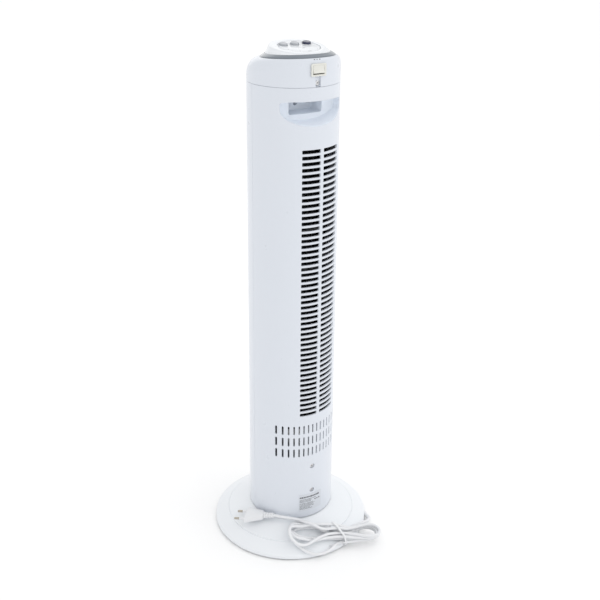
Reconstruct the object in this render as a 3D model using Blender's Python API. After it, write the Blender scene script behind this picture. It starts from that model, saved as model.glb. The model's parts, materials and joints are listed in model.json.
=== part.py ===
"""Tower fan: round base, tapered column, carry recess, top controls and a bundled mains lead.

Metres, +Z up, front towards -Y.  Lengths below are written in millimetres and scaled once.
"""
import math

import bmesh
import bpy
from mathutils import Matrix, Vector

MM = 0.001

# Column
COLUMN_LOW_Z = 38.3
SEAM_Z = 733.0
COLUMN_LOW_R = 68.2
COLUMN_HIGH_R = 65.9
WALL = 2.5
HALF_STEPS = 12

# Inlet slots, lower vents and outlet slots: x ranges in the rear or front wall
SLOT_COUNT = 49
SLOT_LOW_Z = 230.1
SLOT_PITCH = 8.65
SLOT_HEIGHT = 5.4
INLET_GROUPS = ((-42.5, -11.7), (-6.6, 21.8))
VENT_COLUMNS = 15
VENT_PITCH = 7.5
VENT_WIDTH = 2.1
VENT_HEIGHT = 15.2
VENT_ROWS = (161.4, 182.1, 202.8)
OUTLET_COUNT = 35
OUTLET_PITCH = 11.8
OUTLET_HEIGHT = 6.4
OUTLET_GROUPS = ((-33.0, -2.0), (2.0, 33.0))

# Carry recess
RECESS_PLATE_Y = 33.0
RECESS_CENTRE_Z = 704.5
RECESS_TOP_Z = 714.0
RECESS_FULLNESS = 0.91
POCKET_HALF = 26.5
POCKET_LOW_Z = 691.6
POCKET_DEPTH = 28.0

# Top: the trim ring leans down to the front, the control panel leans up to the front
RING_Y = 11.2
RING_Z = 767.7
RING_SLOPE = 0.070
RING_OUTER = 52.2
RING_INNER = 45.6
RING_RISE = 4.7
PANEL_Z = 780.5
PANEL_SLOPE = -0.114
PLATE_CENTRE = (-1.5, 12.5)
BUTTON_X = (17.6, -0.5, -19.8)
BUTTON_Y = 1.5
BUTTON_R = 6.2
BUTTON_RISE = 2.6

# Rear rocker switch and screws
ROCKER_Z = 756.2
ROCKER_Y = 62.0
ROCKER_REST = 9.0
SCREW_ZS = (132.8, 87.7)

# Inside
ROTOR_X = -5.0
ROTOR_Y = 2.0
ROTOR_LOW_Z = 222.0
ROTOR_HIGH_Z = 646.0
BLADES = 20

# Mains lead
CORD_R = 2.4
HANK_CENTRE = (-18.2, 112.9, 24.4)
HANK_ALONG = (-0.9340, 0.3165, -0.1680)
HANK_UP = (-0.0547, 0.3376, 0.9397)
HANK_LENGTH = 148.0
HANK_WIDTH = 40.0
HANK_HEIGHT = 9.0
EXIT = (-104.0, 72.0, 5.4)
EXIT_AHEAD = (0.07, 0.998, 0.0)
PLUG_CENTRE = (59.34, 47.03, 45.66)
PLUG_AHEAD = (0.6741, -0.7142, -0.1886)
PLUG_UP = (0.1668, -0.1016, 0.9807)

COLOURS = {
    "white_plastic": (0.86, 0.87, 0.89, 1.0),
    "grey_trim": (0.16, 0.19, 0.22, 1.0),
    "silver_button": (0.45, 0.47, 0.50, 1.0),
    "navy_button": (0.03, 0.04, 0.10, 1.0),
    "cream_plastic": (0.80, 0.77, 0.62, 1.0),
    "black_plastic": (0.03, 0.03, 0.035, 1.0),
    "steel": (0.55, 0.55, 0.56, 1.0),
    "brass": (0.62, 0.48, 0.22, 1.0),
    "rubber": (0.05, 0.05, 0.05, 1.0),
    "cord_white": (0.84, 0.84, 0.85, 1.0),
    "label_white": (0.80, 0.80, 0.80, 1.0),
}


def clear_scene():
    for obj in list(bpy.data.objects):
        bpy.data.objects.remove(obj, do_unlink=True)


def make_collection(name):
    collection = bpy.data.collections.new(name)
    bpy.context.scene.collection.children.link(collection)
    return collection


def make_materials():
    made = {}
    for name, colour in COLOURS.items():
        material = bpy.data.materials.new(name)
        material.use_nodes = True
        shader = material.node_tree.nodes["Principled BSDF"]
        shader.inputs["Base Color"].default_value = colour
        shader.inputs["Roughness"].default_value = 0.4
        made[name] = material
    return made


clear_scene()
PARTS = make_collection("parts")
CUTTERS = make_collection("cutters")
MATERIALS = make_materials()


def finish_mesh(name, mesh_data, colour, origin=(0.0, 0.0, 0.0)):
    """Link a mesh as a part, with its origin at a point given in millimetres."""
    bmesh.ops.recalc_face_normals(mesh_data, faces=mesh_data.faces)
    bmesh.ops.scale(mesh_data, vec=(MM, MM, MM), verts=mesh_data.verts)
    shift = Vector(origin) * MM
    bmesh.ops.translate(mesh_data, vec=-shift, verts=mesh_data.verts)
    mesh = bpy.data.meshes.new(name)
    mesh_data.to_mesh(mesh)
    mesh_data.free()
    obj = bpy.data.objects.new(name, mesh)
    obj.location = shift
    if colour is None:
        CUTTERS.objects.link(obj)
        obj.hide_render = True
        obj.display_type = "WIRE"
    else:
        PARTS.objects.link(obj)
        mesh.materials.append(MATERIALS[colour])
    return obj


def loft(rings, closed_profile=True, closed_ring=True, mesh_data=None):
    """Skin a list of rings with equal point counts.  A closed profile joins last to first."""
    mesh_data = mesh_data or bmesh.new()
    rows = [[mesh_data.verts.new(point) for point in ring] for ring in rings]
    count = len(rows[0])
    pairs = list(zip(rows, rows[1:]))
    if closed_profile:
        pairs.append((rows[-1], rows[0]))
    for low, high in pairs:
        for i in range(count if closed_ring else count - 1):
            j = (i + 1) % count
            mesh_data.faces.new((low[i], low[j], high[j], high[i]))
    if not closed_ring:
        mesh_data.faces.new([row[0] for row in rows])
        mesh_data.faces.new([row[-1] for row in rows])
    if not closed_profile:
        mesh_data.faces.new(rows[0])
        mesh_data.faces.new(rows[-1])
    return mesh_data


def circle(radius, z, steps, centre=(0.0, 0.0), slope=0.0, slope_y=0.0, start=0.0, sweep=360.0):
    """Points on a level circle, or on one leaning along Y."""
    whole = abs(sweep - 360.0) < 1e-6
    points = []
    for i in range(steps if whole else steps + 1):
        angle = math.radians(start + sweep * i / steps)
        x = centre[0] + radius * math.cos(angle)
        y = centre[1] + radius * math.sin(angle)
        points.append((x, y, z + slope * (y - slope_y)))
    return points


def lathe(name, profile, colour, steps=24, centre=(0.0, 0.0), start=0.0, sweep=360.0, origin=None):
    """Turn a closed (radius, z) profile about a vertical axis.  None as inner radius is a solid."""
    whole = abs(sweep - 360.0) < 1e-6
    solid = profile[0][0] == 0.0
    if solid:
        rings = [circle(r, z, steps, centre) for r, z in profile[1:-1]]
        mesh_data = loft(rings, closed_profile=False)
    else:
        rings = [circle(r, z, steps, centre, start=start, sweep=sweep) for r, z in profile]
        mesh_data = loft(rings, closed_ring=whole)
    return finish_mesh(name, mesh_data, colour, origin or (centre[0], centre[1], profile[0][1]))


def rod(name, radius, low, high, colour, steps=16, centre=(0.0, 0.0), origin=None):
    profile = [(0.0, low), (radius, low), (radius, high), (0.0, high)]
    return lathe(name, profile, colour, steps, centre, origin=origin)


def add_prism(mesh_data, outline, low, high, frame=None):
    """Extrude an outline of (a, b) points along the third axis of a frame."""
    frame = frame or Matrix.Identity(4)
    ends = []
    for level in (low, high):
        ends.append([mesh_data.verts.new(frame @ Vector((a, b, level))) for a, b in outline])
    count = len(outline)
    mesh_data.faces.new(list(reversed(ends[0])))
    mesh_data.faces.new(ends[1])
    for i in range(count):
        j = (i + 1) % count
        mesh_data.faces.new((ends[0][i], ends[0][j], ends[1][j], ends[1][i]))


def prism(name, outline, low, high, colour, frame=None, origin=(0.0, 0.0, 0.0)):
    mesh_data = bmesh.new()
    add_prism(mesh_data, outline, low, high, frame)
    return finish_mesh(name, mesh_data, colour, origin)


def rectangle(x0, x1, y0, y1):
    return [(x0, y0), (x1, y0), (x1, y1), (x0, y1)]


def round_outline(radius, steps, centre=(0.0, 0.0), stretch=1.0):
    points = []
    for i in range(steps):
        angle = 2.0 * math.pi * i / steps
        points.append((centre[0] + radius * math.cos(angle), centre[1] + stretch * radius * math.sin(angle)))
    return points


def box(name, low, high, colour, origin=(0.0, 0.0, 0.0)):
    outline = rectangle(low[0], high[0], low[1], high[1])
    return prism(name, outline, low[2], high[2], colour, origin=origin)


def boxes(name, corners, colour=None):
    """One cutter holding many separate boxes."""
    mesh_data = bmesh.new()
    for low, high in corners:
        add_prism(mesh_data, rectangle(low[0], high[0], low[1], high[1]), low[2], high[2])
    return finish_mesh(name, mesh_data, colour)


def along_y():
    """Frame whose outline plane is XZ and whose extrusion runs along +Y."""
    return Matrix(((1, 0, 0, 0), (0, 0, 1, 0), (0, 1, 0, 0), (0, 0, 0, 1)))


def placed(centre, ahead, up):
    """Frame with first axis ahead, third axis up, at a centre in millimetres."""
    ahead = Vector(ahead).normalized()
    up = Vector(up)
    up = (up - ahead * up.dot(ahead)).normalized()
    side = up.cross(ahead)
    frame = Matrix.Identity(4)
    for row in range(3):
        frame[row][0] = ahead[row]
        frame[row][1] = side[row]
        frame[row][2] = up[row]
        frame[row][3] = centre[row]
    return frame


def combine(target, other, operation):
    modifier = target.modifiers.new(other.name, "BOOLEAN")
    modifier.operation = operation
    modifier.solver = "EXACT"
    modifier.object = other


def cut(target, *others):
    for other in others:
        combine(target, other, "DIFFERENCE")


def fuse(target, *others):
    for other in others:
        combine(target, other, "UNION")


def column_radius(z):
    share = (z - COLUMN_LOW_Z) / (SEAM_Z - COLUMN_LOW_Z)
    return COLUMN_LOW_R + (COLUMN_HIGH_R - COLUMN_LOW_R) * share


def shell_profile(low, high, outer=0.0, thickness=WALL):
    return [
        (column_radius(low) + outer - thickness, low),
        (column_radius(low) + outer, low),
        (column_radius(high) + outer, high),
        (column_radius(high) + outer - thickness, high),
    ]


def slot_boxes(groups, count, low_z, pitch, height, y0, y1):
    corners = []
    for i in range(count):
        z = low_z + pitch * i
        for x0, x1 in groups:
            corners.append(((x0, y0, z - height / 2), (x1, y1, z + height / 2)))
    return corners


# ---------------------------------------------------------------- base
def build_base():
    outer = [(126.5, 2.4), (126.5, 7.6), (125.2, 8.9), (104.6, 19.8), (103.4, 21.0)]
    outer += [(70.8, 35.7), (68.4, 36.6)]
    inner = [(22.0, 36.6), (22.0, 34.2), (67.2, 34.2), (102.0, 18.6), (123.4, 7.2), (123.9, 2.4)]
    cover = lathe("base_cover", outer + inner, "white_plastic", steps=48)
    plate = rod("base_plate", 123.4, 2.4, 4.8, "white_plastic", steps=32)

    gland_frame = placed(EXIT, EXIT_AHEAD, (0.0, 0.0, 1.0))
    notch = prism("gland_notch", rectangle(-13.0, 12.0, -3.5, 3.5), -8.0, 3.3, None, gland_frame)
    cut(cover, notch)
    cut(plate, notch)
    prism("cord_gland", rectangle(-12.0, 2.0, -3.1, 3.1), -2.8, 2.9, "cord_white", gland_frame, EXIT)

    for i in range(5):
        angle = math.radians(-90.0 + 72.0 * i)
        centre = (104.0 * math.cos(angle), 104.0 * math.sin(angle))
        rod("foot_pad_%d" % (i + 1), 9.0, 0.0, 2.1, "rubber", 16, centre)

    hub = [(13.0, 5.2), (40.0, 5.2), (40.0, 7.6), (17.5, 7.6), (17.5, 31.0), (56.0, 31.0), (56.0, 33.8)]
    hub += [(17.5, 33.8), (17.5, 46.0), (13.0, 46.0)]
    lathe("swivel_hub", hub, "white_plastic")
    washer = [(24.0, 36.9), (50.0, 36.9), (50.0, 38.1), (24.0, 38.1)]
    lathe("swivel_washer", washer, "white_plastic")
    retainer = [(17.9, 41.4), (25.0, 41.4), (25.0, 43.3), (17.9, 43.3)]
    lathe("hub_retainer", retainer, "steel")


# ---------------------------------------------------------------- column
def recess_ring(half_width, depth, y):
    """Smile-shaped outline: level top edge, full half-ellipse bottom."""
    points = [(half_width - 1.5, RECESS_TOP_Z), (-half_width + 1.5, RECESS_TOP_Z)]
    points.append((-half_width, RECESS_TOP_Z - 2.0))
    for i in range(13):
        angle = math.radians(180.0 + 15.0 * i)
        across = math.copysign(abs(math.cos(angle)) ** RECESS_FULLNESS, math.cos(angle))
        down = math.copysign(abs(math.sin(angle)) ** RECESS_FULLNESS, math.sin(angle))
        points.append((half_width * across, RECESS_CENTRE_Z + depth * down))
    points.append((half_width, RECESS_TOP_Z - 2.0))
    return [(x, y, z) for x, z in points]


def build_rear_shell():
    profile = shell_profile(COLUMN_LOW_Z, SEAM_Z - 0.2)
    shell = lathe("rear_shell", profile, "white_plastic", HALF_STEPS, start=0.15, sweep=179.7)

    arc = []
    for i in range(11):
        x = 49.0 - 9.8 * i
        arc.append((x, math.sqrt(64.2 ** 2 - x ** 2)))
    block = prism("recess_block", arc + [(-49.0, 30.6), (49.0, 30.6)], 677.0, 717.0, None)
    low = POCKET_LOW_Z - 2.2
    back = RECESS_PLATE_Y - POCKET_DEPTH
    pocket_block = box("pocket_block", (-29.0, back - 2.2, low), (29.0, 32.0, 715.6), None)
    fuse(shell, block, pocket_block)

    rings = [recess_ring(45.6, 21.5, RECESS_PLATE_Y), recess_ring(51.6, 24.8, 72.6)]
    recess = finish_mesh("recess_cut", loft(rings, closed_profile=False), None)
    pocket = box("pocket_cut", (-POCKET_HALF, back, POCKET_LOW_Z), (POCKET_HALF, 40.0, 713.4), None)
    slots = slot_boxes(INLET_GROUPS, SLOT_COUNT, SLOT_LOW_Z, SLOT_PITCH, SLOT_HEIGHT, 38.0, 75.0)
    inlet = boxes("inlet_cut", slots)
    vents = []
    for row in VENT_ROWS:
        for i in range(VENT_COLUMNS):
            x = VENT_PITCH * (i - (VENT_COLUMNS - 1) / 2)
            low_corner = (x - VENT_WIDTH / 2, 30.0, row - VENT_HEIGHT / 2)
            vents.append((low_corner, (x + VENT_WIDTH / 2, 75.0, row + VENT_HEIGHT / 2)))
    vent = boxes("vent_cut", vents)
    cut(shell, recess, pocket, inlet, vent)
    for i, z in enumerate(SCREW_ZS):
        hole = prism("screw_hole_%d" % i, round_outline(4.2, 12, (0.0, z)), 55.0, 75.0, None, along_y())
        cut(shell, hole)
    names = ("upper_rear_screw", "lower_rear_screw")
    for name, z in zip(names, SCREW_ZS):
        origin = (0.0, 66.0, z)
        prism(name, round_outline(3.7, 12, (0.0, z)), 56.0, 66.4, "steel", along_y(), origin)


def build_front_shell():
    profile = shell_profile(COLUMN_LOW_Z, SEAM_Z - 0.2)
    shell = lathe("front_shell", profile, "white_plastic", HALF_STEPS, start=180.15, sweep=179.7)
    low = SLOT_LOW_Z + 4.0
    corners = slot_boxes(OUTLET_GROUPS, OUTLET_COUNT, low, OUTLET_PITCH, OUTLET_HEIGHT, -75.0, -45.0)
    cut(shell, boxes("outlet_cut", corners))


def build_label():
    flat = math.cos(math.radians(7.4875)) / math.cos(math.radians(70.9 - 67.5375))
    rings = []
    for offset, z in ((0.15, 50.5), (0.55, 50.5), (0.55, 81.5), (0.15, 81.5)):
        radius = column_radius(z) + offset
        ring = []
        for angle, share in ((70.9, flat), (75.025, 1.0), (90.0, 1.0), (104.975, 1.0)):
            turn = math.radians(angle)
            ring.append((radius * share * math.cos(turn), radius * share * math.sin(turn), z))
        rings.append(ring)
    finish_mesh("rating_label", loft(rings, closed_ring=False), "label_white", (0.0, 68.0, 66.0))


def build_column_foot():
    profile = [(18.2, 38.7), (62.3, 38.7), (62.3, 46.0), (60.2, 46.0), (60.2, 41.0), (18.2, 41.0)]
    lathe("column_foot", profile, "white_plastic", steps=24)


# ---------------------------------------------------------------- top
def cap_skin(inset, steps):
    """Rings from the seam up the wall, round the shoulder and in to the panel opening."""
    rings = [circle(COLUMN_HIGH_R - inset, SEAM_Z + 0.2, steps)]
    for part in range(5):
        turn = math.radians(22.5 * part)
        ring = []
        for i in range(steps):
            angle = 2.0 * math.pi * i / steps
            wall = Vector((math.cos(angle), math.sin(angle), 0.0)) * (COLUMN_HIGH_R - inset)
            rim = Vector((RING_OUTER * math.cos(angle), RING_Y + RING_OUTER * math.sin(angle), 0.0))
            rim -= Vector((math.cos(angle), math.sin(angle), 0.0)) * inset
            top = RING_Z + RING_SLOPE * (rim.y - RING_Y) - inset
            start = max(top - 1.2 * (rim - wall).length, SEAM_Z + 6.0 - inset)
            point = wall.lerp(rim, 1.0 - math.cos(turn))
            point.z = start + (top - start) * math.sin(turn)
            ring.append(tuple(point))
        rings.append(ring)
    rings.append(circle(43.6, RING_Z - inset, steps, (0.0, RING_Y), RING_SLOPE, RING_Y))
    return rings


def build_cap():
    steps = 36
    outer = cap_skin(0.0, steps)
    inner = cap_skin(2.4, steps)
    cap = finish_mesh("top_cap", loft(outer + list(reversed(inner))), "white_plastic", (0.0, 0.0, SEAM_Z))
    opening = box("bezel_hole", (-10.7, 55.0, ROCKER_Z - 7.8), (10.7, 75.0, ROCKER_Z + 7.8), None)
    channel = box("channel_cut", (-4.2, 64.9, SEAM_Z - 2.0), (4.2, 75.0, ROCKER_Z - 7.5), None)
    hole = prism("cap_screw_hole", round_outline(3.9, 12, (0.0, 738.6)), 55.0, 75.0, None, along_y())
    cut(cap, opening, channel, hole)
    outline = round_outline(3.5, 12, (0.0, 738.6))
    prism("cap_screw", outline, 56.0, 65.2, "steel", along_y(), (0.0, 65.0, 738.6))


def leaning(radius, drop, centre=(0.0, RING_Y), steps=36):
    """Circle in the control panel's plane, or below it."""
    return circle(radius, PANEL_Z - drop, steps, centre, PANEL_SLOPE, RING_Y)


def seated(radius, rise, steps=36):
    """Circle in the trim ring's plane, or above it."""
    return circle(radius, RING_Z + rise, steps, (0.0, RING_Y), RING_SLOPE, RING_Y)


def build_panel():
    ring = [seated(RING_OUTER, 0.3), seated(RING_OUTER, 1.0), seated(RING_INNER + 0.6, RING_RISE)]
    ring += [seated(RING_INNER, RING_RISE), seated(RING_INNER, 0.3)]
    finish_mesh("trim_ring", loft(ring), "grey_trim", (0.0, RING_Y, RING_Z))

    panel = [seated(45.2, 0.6), seated(45.2, 4.4), leaning(40.0, 1.3), leaning(38.6, 0.0)]
    panel += [leaning(29.7, 0.0, PLATE_CENTRE), leaning(29.7, 2.8, PLATE_CENTRE)]
    panel += [leaning(28.5, 2.8, PLATE_CENTRE), leaning(28.5, 4.6, PLATE_CENTRE)]
    panel += [leaning(37.6, 4.4), seated(42.8, 0.6)]
    finish_mesh("control_panel", loft(panel), "white_plastic", (0.0, RING_Y, PANEL_Z))

    plate_rings = [leaning(29.0, 2.4, PLATE_CENTRE), leaning(29.0, 0.3, PLATE_CENTRE)]
    plate_data = loft(plate_rings, closed_profile=False)
    plate = finish_mesh("control_plate", plate_data, "white_plastic", (0.0, RING_Y, PANEL_Z))
    normal = Vector((0.0, -PANEL_SLOPE, 1.0)).normalized()
    names = ("left_button", "middle_button", "right_button")
    colours = ("silver_button", "silver_button", "navy_button")
    for name, x, colour in zip(names, BUTTON_X, colours):
        centre = (x, BUTTON_Y, PANEL_Z + PANEL_SLOPE * (BUTTON_Y - RING_Y))
        frame = placed(centre, (1.0, 0.0, 0.0), normal)
        hole = prism(name + "_hole", round_outline(BUTTON_R + 0.3, 16), -8.0, 8.0, None, frame)
        cut(plate, hole)
        prism(name, round_outline(BUTTON_R, 16), -5.0, BUTTON_RISE, colour, frame, centre)
    box("button_switch", (-27.0, -6.5, 752.0), (25.0, 9.5, 773.0), "black_plastic", (0.0, 1.5, 762.0))


def build_rocker():
    flange = box("rocker_bezel", (-11.7, 66.2, ROCKER_Z - 8.4), (11.7, 67.7, ROCKER_Z + 8.4), "cream_plastic")
    body = box("bezel_body", (-10.3, 50.0, ROCKER_Z - 7.4), (10.3, 66.6, ROCKER_Z + 7.4), None)
    cavity = box("bezel_cavity", (-9.0, 53.0, ROCKER_Z - 6.4), (9.0, 75.0, ROCKER_Z + 6.4), None)
    fuse(flange, body)
    cut(flange, cavity)
    rest = Matrix.Rotation(math.radians(ROCKER_REST), 2)
    outline = []
    for y, z in ((-4.0, -2.0), (-4.0, 2.0), (0.0, 5.0), (6.8, 5.0), (5.6, 0.0), (6.8, -5.0), (0.0, -5.0)):
        turned = rest @ Vector((y, z))
        outline.append((turned.x + ROCKER_Y, turned.y + ROCKER_Z))
    frame = Matrix(((0, 0, 1, 0), (1, 0, 0, 0), (0, 1, 0, 0), (0, 0, 0, 1)))
    prism("rocker", outline, -8.6, 8.6, "cream_plastic", frame, (0.0, ROCKER_Y, ROCKER_Z))


# ---------------------------------------------------------------- inside
def build_rotor():
    axis = (ROTOR_X, ROTOR_Y)
    low_disc = [(4.35, ROTOR_LOW_Z), (44.0, ROTOR_LOW_Z)]
    low_disc += [(44.0, ROTOR_LOW_Z + 3.0), (12.0, ROTOR_LOW_Z + 3.0)]
    low_disc += [(12.0, 234.0), (4.35, 234.0)]
    impeller = lathe("impeller", low_disc, "black_plastic", 20, axis)
    middle = rod("impeller_middle", 44.0, 432.5, 435.5, None, 20, axis)
    high_disc = [(3.35, 636.0), (10.0, 636.0), (10.0, 643.0), (44.0, 643.0), (44.0, 646.0), (3.35, 646.0)]
    top = lathe("impeller_top", high_disc, None, 20, axis)
    blades = bmesh.new()
    for i in range(BLADES):
        turn = Matrix.Rotation(2.0 * math.pi * (i + 0.5) / BLADES, 4, "Z")
        lean = Matrix.Translation((37.5, 0.0, 0.0)) @ Matrix.Rotation(math.radians(35.0), 4, "Z")
        frame = Matrix.Translation((ROTOR_X, ROTOR_Y, 0.0)) @ turn @ lean
        add_prism(blades, rectangle(-5.5, 5.0, -0.6, 0.6), ROTOR_LOW_Z + 1.5, ROTOR_HIGH_Z - 1.5, frame)
    blade_set = finish_mesh("impeller_blades", blades, None)
    fuse(impeller, middle, top, blade_set)
    rod("rotor_shaft", 4.0, 190.0, 233.0, "steel", 16, axis)
    rod("top_pin", 3.0, 638.0, 660.0, "steel", 16, axis)


def build_inside():
    axis = (ROTOR_X, ROTOR_Y)
    can = rod("fan_motor", 41.0, 142.0, 195.0, "steel", 24, axis)
    nose = rod("motor_nose", 12.0, 190.0, 198.0, None, 24, axis)
    bore = rod("motor_bore", 4.35, 187.0, 205.0, None, 16, axis)
    fuse(can, nose)
    cut(can, bore)
    bracket = [(18.0, 203.0), (62.3, 203.0), (62.3, 206.0), (18.0, 206.0)]
    lathe("motor_bracket", bracket, "steel")
    plate = [(14.0, 654.5), (62.3, 654.5), (62.3, 657.0), (14.0, 657.0)]
    lathe("bearing_plate", plate, "white_plastic")
    bush = [(3.1, 650.0), (7.0, 650.0), (7.0, 657.3), (22.0, 657.3), (22.0, 659.0), (7.0, 659.0)]
    bush += [(7.0, 663.0), (3.1, 663.0)]
    lathe("bearing_bush", bush, "brass", 16, axis)

    scroll = ((24.0, 57.0), (40.0, 36.0), (46.0, 15.0), (47.0, -8.0), (42.0, -30.0), (35.5, -50.0))
    vortex = ((-36.0, -50.0), (-44.0, -36.0), (-50.0, -22.0), (-52.0, -8.0))
    for name, path in (("scroll_guide", scroll), ("vortex_guide", vortex)):
        side = []
        for i, point in enumerate(path):
            before = Vector(path[max(i - 1, 0)])
            after = Vector(path[min(i + 1, len(path) - 1)])
            run = (after - before).normalized()
            side.append((point[0] + 1.5 * run.y, point[1] - 1.5 * run.x))
        prism(name, list(path) + list(reversed(side)), 212.0, 650.0, "white_plastic")

    rod("swing_motor", 22.0, 53.0, 69.0, "steel", 24, (34.0, 0.0))
    crank = rod("swing_crank", 9.0, 49.4, 51.9, "white_plastic", 16, (34.0, 0.0), (34.0, 0.0, 50.0))
    pin = rod("crank_pin", 1.6, 46.6, 50.0, None, 12, (40.0, 0.0))
    fuse(crank, pin)
    outline = rectangle(36.5, 43.5, -3.5, 15.0)
    link = prism("swing_link", outline, 47.1, 48.8, "steel", origin=(40.0, 0.0, 48.0))
    cut(link, rod("link_hole", 2.0, 40.0, 50.0, None, 12, (40.0, 0.0)))


# ---------------------------------------------------------------- mains lead
def tube(name, points, colour):
    curve = bpy.data.curves.new(name, "CURVE")
    curve.dimensions = "3D"
    curve.bevel_depth = CORD_R * MM
    curve.bevel_resolution = 2
    curve.use_fill_caps = True
    spline = curve.splines.new("POLY")
    spline.points.add(len(points) - 1)
    for target, point in zip(spline.points, points):
        target.co = (point[0] * MM, point[1] * MM, point[2] * MM, 1.0)
    obj = bpy.data.objects.new(name, curve)
    PARTS.objects.link(obj)
    curve.materials.append(MATERIALS[colour])
    return obj


def smooth_path(knots, pieces=4):
    """Catmull-Rom points through the knots."""
    points = []
    vectors = [Vector(knot) for knot in knots]
    for i in range(len(vectors) - 1):
        p0 = vectors[max(i - 1, 0)]
        p1 = vectors[i]
        p2 = vectors[i + 1]
        p3 = vectors[min(i + 2, len(vectors) - 1)]
        for step in range(pieces):
            t = step / pieces
            point = 0.5 * (2 * p1 + (p2 - p0) * t + (2 * p0 - 5 * p1 + 4 * p2 - p3) * t * t
                           + (3 * p1 - p0 - 3 * p2 + p3) * t * t * t)
            points.append(tuple(point))
    points.append(tuple(vectors[-1]))
    return points


def hank_outline(half_length, half_width, corner_steps=6):
    """Long outline with round ends."""
    points = []
    for side in (1, -1):
        for i in range(corner_steps + 1):
            angle = math.radians(-90.0 + 180.0 * i / corner_steps)
            a = (half_length - half_width) + half_width * math.cos(angle)
            points.append((side * a, side * half_width * math.sin(angle)))
    return points


def build_lead():
    frame = placed(HANK_CENTRE, HANK_ALONG, HANK_UP)
    half = HANK_HEIGHT / 2
    outline = hank_outline(HANK_LENGTH / 2, HANK_WIDTH / 2)
    prism("cord_hank", outline, -half, half, "cord_white", frame, HANK_CENTRE)
    wide = HANK_WIDTH / 2
    tie_frame = frame @ Matrix.Rotation(math.radians(90.0), 4, "Y")
    around = rectangle(-half - 1.8, half + 1.8, -wide - 1.8, wide + 1.8)
    tie = prism("cord_tie", around, 2.0, 6.0, "cord_white", tie_frame)
    inside = rectangle(-half - 0.3, half + 0.3, -wide - 0.3, wide + 0.3)
    gap = prism("tie_gap", inside, -1.0, 9.0, None, tie_frame)
    cut(tie, gap)

    lead = ((-103.8, 74.5, 5.4), (-103.5, 81.0, 5.6), (-101.8, 88.0, 6.4), (-96.8, 94.8, 8.0))
    lead += ((-89.5, 98.9, 10.2), (-80.0, 100.6, 12.4), (-70.0, 101.9, 13.6), (-63.0, 102.4, 14.6))
    tube("cord_lead", smooth_path(lead, 3), "cord_white")
    tail = ((58.4, 48.1, 45.9), (53.5, 52.5, 45.2), (47.0, 58.2, 43.9))
    tail += ((40.0, 63.6, 42.2), (33.0, 68.6, 40.4))
    tube("cord_tail", smooth_path(tail, 3), "cord_white")

    plug_frame = placed(PLUG_CENTRE, PLUG_AHEAD, PLUG_UP)
    outline = [(0.0, -4.4), (15.0, -5.4), (18.0, -8.5), (30.0, -12.0), (47.0, -17.2)]
    outline += [(a, -b) for a, b in reversed(outline)]
    body = prism("plug_body", outline, -4.4, 4.4, "cord_white", plug_frame, PLUG_CENTRE)
    bulge = prism("plug_bulge", rectangle(22.0, 46.6, -8.5, 8.5), -6.0, 6.0, None, plug_frame)
    fuse(body, bulge)
    for name, side in (("plug_pin_left", 9.2), ("plug_pin_right", -9.2)):
        pin_frame = plug_frame @ Matrix.Rotation(math.radians(90.0), 4, "Y")
        prism(name, round_outline(2.0, 12, (0.0, side)), 47.3, 66.0, "brass", pin_frame)


build_base()
build_rear_shell()
build_front_shell()
build_label()
build_column_foot()
build_cap()
build_panel()
build_rocker()
build_rotor()
build_inside()
build_lead()
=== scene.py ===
"""Tower fan seen from behind: the finished visual model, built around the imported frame.

Lengths are written in millimetres and scaled once, when a mesh is made.
The fan stands on z = 0 with its front towards -Y, as in the frame.
"""

import json
import math
import random

import bmesh
import bpy
import numpy as np
from mathutils import Matrix, Vector, geometry

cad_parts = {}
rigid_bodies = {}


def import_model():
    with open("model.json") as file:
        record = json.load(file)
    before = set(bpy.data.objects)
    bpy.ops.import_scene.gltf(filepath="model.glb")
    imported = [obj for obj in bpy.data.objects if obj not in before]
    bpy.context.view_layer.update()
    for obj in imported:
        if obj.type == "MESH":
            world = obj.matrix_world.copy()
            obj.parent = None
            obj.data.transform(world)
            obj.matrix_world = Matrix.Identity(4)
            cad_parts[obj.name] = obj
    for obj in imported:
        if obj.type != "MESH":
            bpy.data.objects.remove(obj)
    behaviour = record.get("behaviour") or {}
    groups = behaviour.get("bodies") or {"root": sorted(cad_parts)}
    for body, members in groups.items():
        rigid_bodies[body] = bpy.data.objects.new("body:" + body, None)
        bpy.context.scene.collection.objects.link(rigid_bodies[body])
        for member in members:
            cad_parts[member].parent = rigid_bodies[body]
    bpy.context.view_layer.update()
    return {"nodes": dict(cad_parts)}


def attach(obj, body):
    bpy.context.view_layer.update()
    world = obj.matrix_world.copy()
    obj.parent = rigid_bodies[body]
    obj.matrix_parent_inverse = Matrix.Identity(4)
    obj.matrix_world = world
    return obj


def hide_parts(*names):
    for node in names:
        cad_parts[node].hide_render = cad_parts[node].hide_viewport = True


MM = 0.001
SHARP = 32.0  # degrees between faces that still shade as one surface
EDGE_PUSH = 0.2  # how far a sheet's rim bulges past its outer edge

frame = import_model()

# Column, as in the frame
LOW_Z = 38.3
SEAM_Z = 733.0
LOW_R = 68.2
HIGH_R = 65.9
WALL = 2.5
ARC_R = 67.0  # arc lengths on the wall are measured at this radius

# Rear wall
SLOT_COUNT = 49
SLOT_LOW_Z = 230.1
SLOT_PITCH = 8.65
SLOT_HEIGHT = 5.4
INLET_GROUPS = ((-42.5, -11.7), (-6.6, 21.8))
RIB_DEPTH = 3.0
VENT_COLUMNS = 15
VENT_PITCH = 7.5
VENT_SIZE = (2.1, 15.2)
VENT_ROWS = (161.4, 182.1, 202.8)
SCREW_ZS = (132.8, 87.7)

# Front wall
OUTLET_COUNT = 35
OUTLET_PITCH = 11.8
OUTLET_HEIGHT = 6.4
OUTLET_GROUPS = ((-33.0, -2.0), (2.0, 33.0))

# Rotor axis in the plan
ROTOR_X = -5.0
ROTOR_Y = 2.0

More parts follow.
